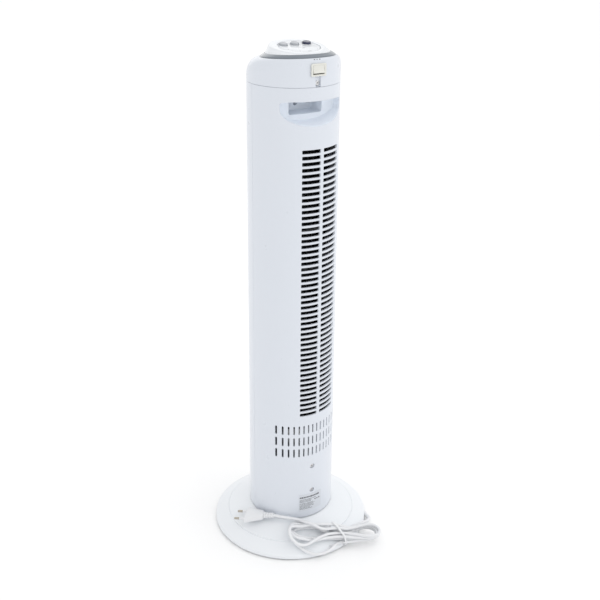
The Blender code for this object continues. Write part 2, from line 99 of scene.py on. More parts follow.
# Carry recess
RECESS_PLATE_Y = 33.0
RECESS_POWER = 2.2  # roundness of its lower edge
RECESS_CENTRE_Z = 704.5
RECESS_TOP_Z = 714.0
POCKET_HALF = 26.5
POCKET_LOW_Z = 691.6
POCKET_DEPTH = 28.0

# Top
RING_Y = 11.2
RING_Z = 767.7
RING_SLOPE = 0.070
RING_OUTER = 52.2
RING_INNER = 45.6
PANEL_Z = 780.5
PANEL_SLOPE = -0.114
PANEL_NORMAL = Vector((0.0, -PANEL_SLOPE, 1.0)).normalized()
PLATE_CENTRE = (-1.5, 12.5)
BUTTON_X = (17.6, -0.5, -19.8)
BUTTON_Y = 1.5
ROCKER_Y = 62.0
ROCKER_Z = 756.2
ROCKER_REST = 9.0
CAP_SCREW_Z = 738.6
CHANNEL_DEPTH = 2.6
ROUND = 128  # points on the panel's circles
BUTTON_ROUND = 48
SCREW_ROUND = 36

# Mains lead
CORD_R = 2.4
EXIT = (-104.0, 72.0, 5.4)
HANK_PLAN = (-18.2, 112.9)
HANK_RUN = (-0.947, 0.321)
TIE_AT = 4.0
TIE_SLANT = (9.3, -10.7)  # direction in which the tie crosses the hank
STRAND_GAP = 4.85  # between the middles of strands that touch
FOLD_R = 14.4
PLUG_CENTRE = (59.34, 47.03, 45.66)
PLUG_AHEAD = (0.6741, -0.7142, -0.1886)
PLUG_UP = (0.1668, -0.1016, 0.9807)

# Camera, in millimetres and degrees
CAMERA_PLACE = (661.1, 1122.4, 963.2)
CAMERA_AHEAD = (-0.47300, -0.78569, -0.39870)
CAMERA_RIGHT = (-0.85885, 0.51214, 0.00968)
CAMERA_LENS = 55.19


# ---------------------------------------------------------------- camera, floor and light
def add_object(name, data):
    thing = bpy.data.objects.new(name, data)
    bpy.context.scene.collection.objects.link(thing)
    return thing


def build_camera():
    data = bpy.data.cameras.new("camera")
    data.lens = CAMERA_LENS
    data.sensor_width = 36.0
    data.clip_end = 100.0
    camera = add_object("camera", data)
    back = -Vector(CAMERA_AHEAD).normalized()
    right = Vector(CAMERA_RIGHT).normalized()
    turn = Matrix((right, back.cross(right), back)).transposed().to_4x4()
    camera.matrix_world = Matrix.Translation(Vector(CAMERA_PLACE) * MM) @ turn
    bpy.context.scene.camera = camera


def area_light(name, place, size, power):
    """Rectangular light in metres that faces the middle of the fan."""
    data = bpy.data.lights.new(name, "AREA")
    data.shape = "RECTANGLE"
    data.size, data.size_y = size
    data.energy = power
    light = add_object(name, data)
    light.location = place
    light.rotation_euler = (Vector((0.0, 0.0, 0.4)) - Vector(place)).to_track_quat("-Z", "Y").to_euler()


def build_studio():
    side = 30.0
    mesh = bpy.data.meshes.new("floor")
    corners = [(-side, -side, 0.0), (side, -side, 0.0), (side, side, 0.0), (-side, side, 0.0)]
    mesh.from_pydata(corners, [], [(0, 1, 2, 3)])
    mesh.materials.append(FLOOR_WHITE)
    add_object("floor", mesh)
    world = bpy.data.worlds.new("studio")
    world.use_nodes = True
    sky = world.node_tree.nodes["Background"]
    sky.inputs["Color"].default_value = (1.0, 1.0, 1.0, 1.0)
    sky.inputs["Strength"].default_value = 0.94
    bpy.context.scene.world = world
    bpy.context.scene.view_settings.view_transform = "Standard"
    window = bpy.data.lights.new("window", "SUN")
    window.energy = 0.42
    window.angle = math.radians(80.0)
    sun = add_object("window", window)
    sun.rotation_euler = Vector((-0.62, 0.50, 0.95)).to_track_quat("Z", "Y").to_euler()
    area_light("key", (-1.3, 1.6, 1.5), (0.5, 1.5), 1.2)
    area_light("front", (-0.4, -1.9, 1.5), (1.6, 1.6), 3.0)


# ---------------------------------------------------------------- materials
def linked(tree, kind, **inputs):
    node = tree.nodes.new(kind)
    for name, value in inputs.items():
        socket = node.inputs[name.replace("_", " ")]
        if isinstance(value, bpy.types.NodeSocket):
            tree.links.new(value, socket)
        else:
            socket.default_value = value
    return node


def finish_of(name, colour, roughness, metallic=0.0, mottle=0.03, grain=900.0, bump=0.02, coat=0.0,
              stretch=(1.0, 1.0, 1.0)):
    """Moulded or rolled surface: soft colour drift, uneven roughness and a fine bump."""
    material = bpy.data.materials.new(name)
    material.use_nodes = True
    tree = material.node_tree
    shader = tree.nodes["Principled BSDF"]
    shader.inputs["Metallic"].default_value = metallic
    shader.inputs["Coat Weight"].default_value = coat
    shader.inputs["Coat Roughness"].default_value = 0.12
    place = tree.nodes.new("ShaderNodeTexCoord")
    mapping = linked(tree, "ShaderNodeMapping", Vector=place.outputs["Object"], Scale=stretch)
    where = mapping.outputs["Vector"]
    drift = linked(tree, "ShaderNodeTexNoise", Vector=where, Scale=9.0, Detail=3.0)
    darker = tuple(channel * (1.0 - mottle) for channel in colour)
    tint = tree.nodes.new("ShaderNodeMix")
    tint.data_type = "RGBA"
    tint.inputs["A"].default_value = (*darker, 1.0)
    tint.inputs["B"].default_value = (*colour, 1.0)
    tree.links.new(drift.outputs["Fac"], tint.inputs["Factor"])
    tree.links.new(tint.outputs["Result"], shader.inputs["Base Color"])
    wear = linked(tree, "ShaderNodeTexNoise", Vector=where, Scale=60.0, Detail=4.0)
    rough = linked(tree, "ShaderNodeMapRange", Value=wear.outputs["Fac"], To_Min=roughness - 0.06,
                   To_Max=roughness + 0.06)
    tree.links.new(rough.outputs["Result"], shader.inputs["Roughness"])
    fine = linked(tree, "ShaderNodeTexNoise", Vector=where, Scale=grain, Detail=2.0)
    dent = linked(tree, "ShaderNodeBump", Height=fine.outputs["Fac"], Strength=bump, Distance=0.0004)
    tree.links.new(dent.outputs["Normal"], shader.inputs["Normal"])
    return material


FLOOR_WHITE = finish_of("studio_floor", (0.99, 0.99, 0.99), 0.9, mottle=0.01, bump=0.01)
SHELL_WHITE = finish_of("shell_white", (0.705, 0.74, 0.80), 0.30, mottle=0.015, grain=700.0, bump=0.035,
                        coat=0.25)
BASE_WHITE = finish_of("base_white", (0.83, 0.855, 0.885), 0.34, mottle=0.015, grain=700.0, bump=0.04,
                       coat=0.15)
# Lighter, bluer copy of the shell white for the carry recess: painted light that stands in for light bouncing
# into it. Other white CAD parts take it too.
POCKET_PAINTED_LIGHT_WHITE = finish_of("pocket_white_painted_light", (0.86, 0.905, 0.97), 0.42, mottle=0.02, bump=0.05)
SLATE = finish_of("slate_trim", (0.17, 0.20, 0.235), 0.26, mottle=0.12, grain=1400.0, bump=0.05, coat=0.7)
SILVER = finish_of("silver_paint", (0.48, 0.50, 0.53), 0.36, metallic=0.55, mottle=0.1, grain=2500.0,
                   bump=0.06)
NAVY = finish_of("navy_plastic", (0.028, 0.035, 0.085), 0.28, mottle=0.15, bump=0.04, coat=0.3)
CREAM = finish_of("cream_plastic_fine", (0.765, 0.762, 0.712), 0.34, mottle=0.03, bump=0.04)
# Black plastic for the impeller and the black CAD parts; also put on four inner parts as painted shade.
BLACK = finish_of("black_inner", (0.022, 0.023, 0.026), 0.45, mottle=0.2, bump=0.1)
ZINC = finish_of("zinc_steel", (0.78, 0.78, 0.79), 0.32, metallic=1.0, mottle=0.12, grain=1600.0, bump=0.15,
                 stretch=(1.0, 1.0, 6.0))
NICKEL = finish_of("nickel_pins", (0.50, 0.46, 0.40), 0.28, metallic=1.0, mottle=0.12, grain=1800.0, bump=0.1)
BRASS = finish_of("turned_brass", (0.62, 0.47, 0.20), 0.35, metallic=1.0, mottle=0.1, bump=0.1)
RUBBER = finish_of("foot_rubber", (0.035, 0.035, 0.037), 0.75, mottle=0.2, grain=1500.0, bump=0.25)
CORD_WHITE = finish_of("cord_pvc", (0.80, 0.81, 0.83), 0.42, mottle=0.03, grain=500.0, bump=0.12)
PAPER = finish_of("label_paper", (0.66, 0.69, 0.74), 0.38, mottle=0.03, grain=1200.0, bump=0.05)
PRINT = finish_of("label_ink", (0.13, 0.135, 0.15), 0.55, mottle=0.2, bump=0.02)


# ---------------------------------------------------------------- mesh tools
def mesh_of(name, net):
    """Turn a bmesh in millimetres into a mesh in metres."""
    bmesh.ops.recalc_face_normals(net, faces=net.faces)
    bmesh.ops.scale(net, vec=(MM, MM, MM), verts=net.verts)
    mesh = bpy.data.meshes.new(name)
    net.to_mesh(mesh)
    net.free()
    return mesh


def make_piece(name, net, material, body, stands_for=(), sharp=SHARP):
    """Turn a bmesh in millimetres into a shown piece that rides on a body."""
    bmesh.ops.remove_doubles(net, verts=net.verts, dist=0.0005)
    loose = [vert for vert in net.verts if not vert.link_faces]
    bmesh.ops.delete(net, geom=loose, context="VERTS")
    mesh = mesh_of(name, net)
    mesh.polygons.foreach_set("use_smooth", [True] * len(mesh.polygons))
    mesh.set_sharp_from_angle(angle=math.radians(sharp))
    mesh.materials.append(material)
    piece = add_object(name, mesh)
    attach(piece, body)
    if stands_for:
        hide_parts(*stands_for)
    return piece


def bridge(net, first, second, skip=()):
    """Quads between two closed rows of vertices; gives back the second row."""
    for i in range(len(first)):
        j = (i + 1) % len(first)
        if i not in skip:
            net.faces.new((first[i], first[j], second[j], second[i]))
    return second


def extend(net, row, rings):
    """Carry a row of vertices on through rings of points; gives back the last row."""
    for points in rings:
        row = bridge(net, row, [net.verts.new(point) for point in points])
    return row


def skin_rings(rings, net=None, capped=False, loop=False):
    """Quads between closed rings of equal point counts, either capped or joined end to end."""
    net = net or bmesh.new()
    rows = [[net.verts.new(point) for point in ring] for ring in rings]
    for low, high in zip(rows, rows[1:] + (rows[:1] if loop else [])):
        bridge(net, low, high)
    if capped:
        net.faces.new(rows[0])
        net.faces.new(rows[-1])
    return net


def circle(radius, steps, a=0.0, b=0.0, tall=1.0):
    """Points round (a, b), anticlockwise."""
    turns = [2.0 * math.pi * i / steps for i in range(steps)]
    return [(a + radius * math.cos(turn), b + radius * tall * math.sin(turn)) for turn in turns]


def ring(radius, z, steps=96, centre=(0.0, 0.0), slope=0.0, slope_y=0.0):
    return [(x, y, z + slope * (y - slope_y)) for x, y in circle(radius, steps, *centre)]


def moved(points, matrix):
    return [tuple(matrix @ Vector(point)) for point in points]


def placed(centre, ahead, up):
    """Matrix whose first axis is ahead and third axis is up."""
    ahead = Vector(ahead).normalized()
    up = Vector(up)
    up = (up - ahead * up.dot(ahead)).normalized()
    side = up.cross(ahead)
    return Matrix.Translation(Vector(centre)) @ Matrix((ahead, side, up)).transposed().to_4x4()


def turned(name, profile, material, body, stands_for=(), steps=96, matrix=Matrix(), sharp=SHARP):
    """Solid turned about Z from an open (radius, height) profile that starts and ends near the axis."""
    rings = [moved(ring(max(radius, 0.02), height, steps), matrix) for radius, height in profile]
    return make_piece(name, skin_rings(rings, capped=True), material, body, stands_for, sharp)


def rounded_rectangle(half_a, half_b, radius, steps=6):
    """Closed outline with round corners, anticlockwise from the lower right."""
    points = []
    for quarter, (sa, sb) in enumerate(((1, -1), (1, 1), (-1, 1), (-1, -1))):
        for i in range(steps + 1):
            angle = math.radians(-90.0 + 90.0 * quarter + 90.0 * i / steps)
            a = sa * (half_a - radius) + radius * math.cos(angle)
            b = sb * (half_b - radius) + radius * math.sin(angle)
            points.append((a, b))
    return points


def column_radius(z):
    return LOW_R + (HIGH_R - LOW_R) * (z - LOW_Z) / (SEAM_Z - LOW_Z)


# ---------------------------------------------------------------- pierced skins
def inside_outline(points, outline):
    """Even-odd test of many points at once."""
    x, y = points[:, 0], points[:, 1]
    corners = [tuple(corner) for corner in outline]
    found = np.zeros(len(points), bool)
    for (x0, y0), (x1, y1) in zip(corners, corners[1:] + corners[:1]):
        crosses = (y0 > y) != (y1 > y)
        if y1 != y0:
            found ^= crosses & (x < (x1 - x0) * (y - y0) / (y1 - y0) + x0)
    return found


def closed(start, count):
    """Edges that join a run of numbered points into a loop."""
    return [(start + i, start + (i + 1) % count) for i in range(count)]


def filled(points, edges):
    """Triangles over flat points: their corners, the triangles, and where each given point went."""
    found = geometry.delaunay_2d_cdt([Vector(point) for point in points], edges, [], 0, 1e-6)
    number = {source: index for index, sources in enumerate(found[3]) for source in sources}
    return np.array([(spot.x, spot.y) for spot in found[0]]), np.array(found[2]), number


def grid_points(low, high, step):
    """Points on whole steps of both map directions, inside the border."""
    columns = [step[0] * k for k in range(math.ceil(low[0] / step[0]), math.floor(high[0] / step[0]) + 1)]
    rows = np.linspace(low[1], high[1], max(2, int(round((high[1] - low[1]) / step[1])) + 1))
    return np.array([(u, v) for v in rows for u in columns])


def rectangle_border(low, high, step, extra_low=()):
    """Anticlockwise border with a point at every grid line, and extra points on its low edge."""
    rows = np.linspace(low[1], high[1], max(2, int(round((high[1] - low[1]) / step[1])) + 1))
    along = stations(low[0], high[0], step[0])
    bottom = sorted(set(along) | set(extra_low))
    bottom = [u for u in bottom if u in extra_low or all(abs(u - other) > 0.3 for other in extra_low)]
    border = [(u, low[1]) for u in bottom]
    border += [(high[0], float(v)) for v in rows[1:-1]]
    border += [(u, high[1]) for u in reversed(along)]
    border += [(low[0], float(v)) for v in reversed(rows[1:-1])]
    return border


def pierced_skin(border, holes, step, place, depth_at, lines=(), joined=False):
    """Closed sheet over a flat map, with holes and scored lines.

    border: closed rectangle on the map.  holes: dicts with an outline on the map, the rings of the hole's
    own wall from outside to inside, and for a blind hole the rings of its back.  place(u, v, depth) gives
    the point in space.  joined: the left and right sides meet, so they get no edge of their own.
    """
    flat = list(border)
    edges = closed(0, len(border))
    spans = []
    for hole in holes:
        spans.append(range(len(flat), len(flat) + len(hole["outline"])))
        edges += closed(len(flat), len(hole["outline"]))
        flat += hole["outline"]
    for line in lines:
        edges += closed(len(flat), len(line))[:-1]
        flat += line
    low, high = np.min(border, 0), np.max(border, 0)
    fill = grid_points(low, high, step)
    margin = 0.3 * step[0]
    keep = ((fill > low + margin) & (fill < high - margin)).all(1)
    for hole in holes:
        outline = np.array(hole["outline"])
        middle = (outline.min(0) + outline.max(0)) / 2
        half = (outline.max(0) - outline.min(0)) / 2
        grown = middle + (outline - middle) * (1.0 + margin / half)
        near = np.flatnonzero((np.abs(fill - middle) < half + margin).all(1))
        keep[near[inside_outline(fill[near], grown)]] = False
    spots, faces, number = filled(flat + [tuple(point) for point in fill[keep]], edges)
    middles = spots[faces].mean(1)
    solid = ((middles > low) & (middles < high)).all(1)
    for hole in holes:
        least, most = np.min(hole["outline"], 0), np.max(hole["outline"], 0)
        which = np.flatnonzero(((middles >= least) & (middles <= most)).all(1) & solid)
        solid[which[inside_outline(middles[which], hole["outline"])]] = False
    net = bmesh.new()
    outer = [net.verts.new(place(u, v, 0.0)) for u, v in spots]
    inner = [net.verts.new(place(u, v, depth_at(u, v))) for u, v in spots]
    for a, b, c in faces[solid]:
        net.faces.new((outer[a], outer[b], outer[c]))
        net.faces.new((inner[c], inner[b], inner[a]))
    for span, hole in zip(spans, holes):
        top = extend(net, [outer[number[i]] for i in span], hole["rings"])
        bottom = extend(net, [inner[number[i]] for i in span], hole.get("back", ()))
        if "back" in hole:
            net.faces.new(top)
            net.faces.new(bottom)
        else:
            bridge(net, top, bottom)

    def side_of(value, axis):
        """1 on the high side of the border, -1 on its low side, else 0."""
        return int(abs(value - high[axis]) < 1e-6) - int(abs(value - low[axis]) < 1e-6)

    skip = set()
    pushed = []
    for i, (u, v) in enumerate(border):
        side = side_of(u, 0)
        if joined and side and side == side_of(border[(i + 1) % len(border)][0], 0):
            skip.add(i)
        pushed.append((u + (0.0 if joined else EDGE_PUSH * side), v + EDGE_PUSH * side_of(v, 1)))
    row = [net.verts.new(place(u, v, EDGE_PUSH)) for u, v in pushed]
    bridge(net, [outer[number[i]] for i in range(len(border))], row, skip)
    last = [net.verts.new(place(*point, depth_at(*spot) - 0.3)) for point, spot in zip(pushed, border)]
    bridge(net, row, last, skip)
    bridge(net, last, [inner[number[i]] for i in range(len(border))], skip)
    return net


def stations(low, high, step):
    """Values from low to high that share the grid lines at whole steps."""
    inner = [k * step for k in range(math.ceil((low + 0.3) / step), math.floor((high - 0.3) / step) + 1)]
    return [low] + inner + [high]


def slot_outline(x0, x1, z0, z1, corner, step):
    """Slot with round corners; its long edges carry a point at every grid line."""
    along = stations(x0 + corner, x1 - corner, step)
    up = [float(z) for z in np.linspace(z0 + corner, z1 - corner, 3)]
    sides = [[(x, z0) for x in along], [(x1, z) for z in up]]
    sides += [[(x, z1) for x in reversed(along)], [(x0, z) for z in reversed(up)]]
    middles = [(x1 - corner, z0 + corner), (x1 - corner, z1 - corner)]
    middles += [(x0 + corner, z1 - corner), (x0 + corner, z0 + corner)]
    points = []
    for quarter, (side, (a, b)) in enumerate(zip(sides, middles)):
        points += side
        for k in range(1, 4):
            angle = math.radians(90.0 * quarter - 90.0 + 22.5 * k)
            points.append((a + corner * math.cos(angle), b + corner * math.sin(angle)))
    return points


# ---------------------------------------------------------------- base
def build_base():
    outer = [(126.2, 2.4), (126.5, 2.8), (126.5, 6.6), (126.38, 7.5), (126.0, 8.3), (125.2, 8.95)]
    outer += [(115.0, 14.35), (105.5, 19.35), (105.2, 19.2), (104.7, 18.9), (104.4, 19.0), (104.15, 20.5)]
    outer += [(103.85, 20.9), (103.2, 21.1), (92.0, 26.15), (80.0, 31.55), (70.8, 35.65), (70.0, 36.0)]
    outer += [(69.2, 36.3), (68.0, 36.55), (66.5, 36.6), (22.0, 36.6)]
    inner = [(22.0, 34.2), (67.2, 34.2), (102.0, 18.6), (123.4, 7.2), (123.9, 2.4)]
    net = skin_rings([ring(radius, height, 192) for radius, height in outer + inner], loop=True)
    cover = make_piece("base_cover_fine", net, BASE_WHITE, "base", ["base_cover"])
    arch = [(-3.5, -8.0), (3.5, -8.0)]
    for i in range(13):
        angle = math.radians(15.0 * i)
        arch.append((3.5 * math.cos(angle), 0.1 + 3.2 * math.sin(angle)))
    matrix = placed(EXIT, (0.07, 0.998, 0.0), (0.0, 0.0, 1.0))
    ends = [moved([(along, a, b) for a, b in arch], matrix) for along in (-13.0, 12.0)]
    cutter = add_object("notch", mesh_of("notch", skin_rings(ends, capped=True)))
    modifier = cover.modifiers.new("notch", "BOOLEAN")
    modifier.operation = "DIFFERENCE"
    modifier.solver = "EXACT"
    modifier.object = cutter
    graph = bpy.context.evaluated_depsgraph_get()
    cut_mesh = bpy.data.meshes.new_from_object(cover.evaluated_get(graph))
    cover.modifiers.clear()
    cover.data = cut_mesh
    cut_mesh.set_sharp_from_angle(angle=math.radians(SHARP))
    bpy.data.objects.remove(cutter, do_unlink=True)
    profile = [(0.0, 0.0), (7.4, 0.0), (8.2, 0.15), (8.8, 0.6), (9.0, 1.1), (9.0, 2.1), (0.0, 2.1)]
    for i in range(5):
        angle = math.radians(-90.0 + 72.0 * i)
        matrix = Matrix.Translation((104.0 * math.cos(angle), 104.0 * math.sin(angle), 0.0))
        name = "foot_pad_%d" % (i + 1)
        turned(name + "_rubber", profile, RUBBER, "base", [name], 40, matrix)


# ---------------------------------------------------------------- column walls
STEP_U = ARC_R * math.radians(2.0)


def arc_of(x, radius=ARC_R):
    return ARC_R * math.asin(x / radius)


def rear_place(u, v, depth, side=1.0):
    """Point in space of a place on the wall's map: arc length, height, and depth into the wall."""
    angle = u / ARC_R
    radius = column_radius(v) - depth
    return (radius * math.sin(angle), side * radius * math.cos(angle), v)


def front_place(u, v, depth):
    return rear_place(u, v, depth, -1.0)


def shifted(outline, amount):
    """Outline moved inwards along its own normals; anticlockwise in, same count out."""
    count = len(outline)
    points = []
    for i in range(count):
        before = Vector(outline[i - 1])
        here = Vector(outline[i])
        after = Vector(outline[(i + 1) % count])
        first = (here - before).normalized()
        second = (after - here).normalized()
        run = (first + second).normalized()
        stretch = 1.0 / max(0.5, math.sqrt(max((1.0 + first.dot(second)) / 2.0, 1e-6)))
        points.append((here.x - run.y * amount * stretch, here.y + run.x * amount * stretch))
    return points


def through_hole(outline, place, edge, depth):
    """Hole with a softened outer edge: the outline given is the clear opening."""
    soft = shifted(outline, -0.12 * edge)
    rings = [[place(u, v, 0.12 * edge) for u, v in shifted(outline, -0.5 * edge)]]
    rings.append([place(u, v, 0.45 * edge) for u, v in soft])
    rings += [[place(u, v, level) for u, v in outline] for level in (edge, depth)]
    return {"outline": shifted(outline, -edge), "rings": rings}


def screw_well(z):
    """Round blind hole for a screw head in the rear wall, with a boss behind it."""
    levels = ((4.32, 0.06), (4.1, 0.4), (4.1, 5.0), (5.2, 6.4))
    rings = [[rear_place(u, v, depth) for u, v in circle(radius, 28, 0.0, z)] for radius, depth in levels]
    return {"outline": circle(4.5, 28, 0.0, z), "rings": rings[:3], "back": rings[3:]}


def square_radius(c, s, half, reach, power):
    """Distance from the centre to a rounded-square outline in the direction (c, s)."""
    return ((c / half) ** power + (s / reach) ** power) ** (-1.0 / power)


def recess_radius(angle, half, low, high):
    """Distance from the recess centre to a smile-shaped outline in one direction."""
    c, s = abs(math.cos(angle)), math.sin(angle)
    if s <= 0.0:
        return square_radius(c, -s, half, low, RECESS_POWER)
    return square_radius(c, s, half, high, 7)


def pocket_radius(angle):
    c, s = abs(math.cos(angle)), math.sin(angle)
    high = 6.9 if s > 0.0 else RECESS_CENTRE_Z - POCKET_LOW_Z
    return square_radius(c, abs(s), POCKET_HALF, high, 14)


def recess_angles(count=132, samples=2880):
    """Directions that divide the recess outline into nearly even pieces."""
    fine = [2.0 * math.pi * i / samples for i in range(samples)]
    points = []
    for angle in fine:
        radius = recess_radius(angle, 50.0, 24.0, 9.5) + pocket_radius(angle)
        points.append((radius * math.cos(angle), radius * math.sin(angle)))
    run = [0.0]
    for first, second in zip(points, points[1:] + points[:1]):
        run.append(run[-1] + math.dist(first, second))
    return [float(np.interp(run[-1] * k / count, run, fine + [2.0 * math.pi])) for k in range(count)]


def recess_hole():
    """The smile-shaped carry recess, and the square pocket in its plate."""
    angles = recess_angles()
    top = RECESS_TOP_Z - RECESS_CENTRE_Z

    def at_depth(angle, y, grow):
        share = (y - RECESS_PLATE_Y) / 39.6
        radius = recess_radius(angle, 45.6 + 6.0 * share, 21.5 + 3.3 * share, top) + grow
        return radius * math.cos(angle), RECESS_CENTRE_Z + radius * math.sin(angle)

    def on_wall(angle, grow, drop):
        y = 60.0
        for _ in range(8):
            x, z = at_depth(angle, y, grow)
            y = math.sqrt(column_radius(z) ** 2 - x * x)
        return (x, y - drop, z)

    def bowl(grow, y):
        return [(x, y, z) for x, z in (at_depth(angle, y, grow) for angle in angles)]

    def pocket(grow, y):
        points = []
        for angle in angles:
            radius = pocket_radius(angle) + grow
            points.append((radius * math.cos(angle), y, RECESS_CENTRE_Z + radius * math.sin(angle)))
        return points

    def disc(radius, y):
        return [(radius * math.cos(angle), y, 701.0 + radius * math.sin(angle)) for angle in angles]

    lip = 1.7
    wide = [on_wall(angle, lip, 0.0) for angle in angles]
    rings = []
    for degrees in (22.5, 45.0, 67.5, 90.0):
        turn = math.radians(degrees)
        grow, drop = lip * (1.0 - math.sin(turn)), lip * (1.0 - math.cos(turn))
        rings.append([on_wall(angle, grow, drop) for angle in angles])
    plate = RECESS_PLATE_Y
    low = bowl(0.0, plate + 1.2)
    rings.append([tuple(Vector(a).lerp(Vector(b), 0.5)) for a, b in zip(rings[-1], low)])
    rings += [low, bowl(-0.35, plate + 0.35), bowl(-1.2, plate), pocket(0.9, plate)]
    rings += [pocket(0.25, plate - 0.25), pocket(0.0, plate - 0.9), pocket(0.0, plate - 14.0)]
    floor = plate - POCKET_DEPTH
    rings += [pocket(-0.2, floor + 1.6), pocket(-0.6, floor + 0.5), pocket(-1.8, floor)]
    rings += [disc(3.3, floor), disc(3.0, floor - 0.3), disc(3.0, floor - 6.0)]
    back = [bowl(2.2, 38.0), bowl(2.2, plate - 2.2), pocket(2.2, plate - 2.2), pocket(2.2, floor - 2.2)]
    back += [disc(5.0, floor - 2.2), disc(4.6, floor - 7.5)]
    return {"outline": [(ARC_R * math.atan2(x, y), z) for x, y, z in wide], "rings": rings, "back": back}


def wall_slot(x0, x1, z, height, corner, edge, place, depth):
    """Slot through the wall between two widths, centred on a height."""
    u0, u1 = (arc_of(x, column_radius(z)) for x in (x0, x1))
    outline = slot_outline(u0, u1, z - height / 2, z + height / 2, corner, STEP_U)
    return through_hole(outline, place, edge, depth)


def wall_slots(groups, count, low, pitch, height, place, depth):
    rows = [low + pitch * i for i in range(count)]
    return [wall_slot(x0, x1, z, height, 1.1, 0.45, place, depth) for z in rows for x0, x1 in groups]


def build_shell(side, holes, place, depth_at):
    """Front or rear half of the column's wall."""
    reach = ARC_R * math.radians(89.85) - 0.2
    step = (STEP_U, 9.0)
    border = rectangle_border((-reach, LOW_Z + 0.2), (reach, SEAM_Z - 0.35), step)
    net = pierced_skin(border, holes, step, place, depth_at)
    name = side + "_shell"
    return make_piece(name + "_fine", net, SHELL_WHITE, "column", [name])


def build_rear_shell():
    grille_low, grille_high = SLOT_LOW_Z - 4.2, SLOT_LOW_Z + SLOT_PITCH * (SLOT_COUNT - 1) + 4.2
    side_low, side_high = arc_of(INLET_GROUPS[0][0] - 2.0), arc_of(INLET_GROUPS[1][1] + 2.0)

    def depth_at(u, v):
        in_grille = side_low < u < side_high and grille_low < v < grille_high
        return RIB_DEPTH if in_grille else WALL

    depth = RIB_DEPTH - 0.5
    holes = wall_slots(INLET_GROUPS, SLOT_COUNT, SLOT_LOW_Z, SLOT_PITCH, SLOT_HEIGHT, rear_place, depth)
    half, height = VENT_SIZE[0] / 2, VENT_SIZE[1]
    for row in VENT_ROWS:
        for i in range(VENT_COLUMNS):
            x = VENT_PITCH * (i - (VENT_COLUMNS - 1) / 2)
            holes.append(wall_slot(x - half, x + half, row, height, 1.2, 0.35, rear_place, WALL - 0.3))
    holes += [screw_well(z) for z in SCREW_ZS]
    holes.append(recess_hole())
    shell = build_shell("rear", holes, rear_place, depth_at)
    # The faces sunk into the carry recess take the lighter white as their second material: painted light in
    # the recess.
    shell.data.materials.append(POCKET_PAINTED_LIGHT_WHITE)
    for face in shell.data.polygons:
        x, y, z = (part / MM for part in face.center)
        sunk = math.hypot(x, y) < column_radius(z) - 0.9 and y > 0.0
        if sunk and abs(x) < 51.0 and 674.0 < z < RECESS_TOP_Z + 1.0:
            face.material_index = 1


def build_front_shell():
    low = SLOT_LOW_Z + 4.0
    holes = wall_slots(OUTLET_GROUPS, OUTLET_COUNT, low, OUTLET_PITCH, OUTLET_HEIGHT, front_place, 1.9)
    build_shell("front", holes, front_place, lambda u, v: WALL)


# ---------------------------------------------------------------- top
def cap_edge(angle, inset=0.0):
    """Wall point, rim point, height of the rim and height where the shoulder starts."""
    out = Vector((math.sin(angle), math.cos(angle), 0.0))
    wall = out * (HIGH_R - inset)
    rim = out * (RING_OUTER - inset) + Vector((0.0, RING_Y, 0.0))
    top = RING_Z + RING_SLOPE * (rim.y - RING_Y) - inset
    start = max(top - 1.2 * (rim - wall).length, SEAM_Z + 6.0 - inset)
    return wall, rim, top, start


def cap_place(u, v, depth):
    angle = u / ARC_R
    wall, rim, top, start = cap_edge(angle, depth)
    low = SEAM_Z + 0.2
    if v <= 50.0:
        return (wall.x, wall.y, low + (start - low) * v / 50.0)
    if v <= 100.0:
        turn = math.radians(90.0 * (v - 50.0) / 50.0)
        point = wall.lerp(rim, 1.0 - math.cos(turn))
        return (point.x, point.y, start + (top - start) * math.sin(turn))
    share = (v - 100.0) / 10.0
    inner = Vector((math.sin(angle), math.cos(angle), 0.0)) * 43.6 + Vector((0.0, RING_Y, 0.0))
    point = rim.lerp(inner, share)
    return (point.x, point.y, RING_Z + RING_SLOPE * (point.y - RING_Y) - depth)


def cap_map(x, z):
    """Map point of a place on the cap's rear wall."""
    angle = math.asin(x / HIGH_R)
    start = cap_edge(angle)[3]
    return (ARC_R * angle, 50.0 * (z - SEAM_Z - 0.2) / (start - SEAM_Z - 0.2))


def cap_relief(u, v, depth):
    """The cap with the shallow channel that runs from the seam up to the switch."""
    angle = u / ARC_R
    if abs(math.sin(angle) * HIGH_R) < 3.82 and math.cos(angle) > 0.0 and v < cap_map(0.0, 748.1)[1]:
        depth = CHANNEL_DEPTH if depth < CHANNEL_DEPTH else depth + CHANNEL_DEPTH
    return cap_place(u, v, depth)


def build_cap():
    outline = [(x, z + ROCKER_Z) for x, z in rounded_rectangle(10.8, 7.9, 1.2, 4)]
    window = []
    for (x0, z0), (x1, z1) in zip(outline, outline[1:] + outline[:1]):
        pieces = max(1, int(math.dist((x0, z0), (x1, z1)) / 3.0))
        for k in range(pieces):
            t = k / pieces
            window.append(cap_map(x0 + (x1 - x0) * t, z0 + (z1 - z0) * t))

    def well(radius):
        return [cap_map(x, z) for x, z in circle(radius, 28, 0.0, CAP_SCREW_Z)]

    def level(radius, depth):
        return [cap_place(u, v, depth) for u, v in well(radius)]

    holes = [{"outline": window, "rings": [[cap_place(u, v, 0.8) for u, v in window]]}]
    rings, back = [level(3.8, 2.0), level(3.8, 5.4)], [level(4.8, 6.6)]
    holes.append({"outline": well(4.0), "rings": rings, "back": back})
    step = (ARC_R * math.radians(3.0), 5.0)
    marks = tuple(arc_of(x, HIGH_R) for x in (-4.2, -3.8, 3.8, 4.2))
    border = rectangle_border((-ARC_R * math.pi, 0.2), (ARC_R * math.pi, 110.0), step, marks)
    lines = []
    for half, top in ((4.2, 748.25), (3.8, 748.0)):
        high = cap_map(half, top)[1]
        u = arc_of(half, HIGH_R)
        rows = [v for v in (0.2, 5.35, 10.35, 15.35) if v < high] + [high]
        lines.append([(-u, v) for v in rows] + [(0.0, high)] + [(u, v) for v in reversed(rows)])
    net = pierced_skin(border, holes, step, cap_relief, lambda u, v: 2.4, lines, joined=True)
    make_piece("top_cap_fine", net, SHELL_WHITE, "column", ["top_cap"])


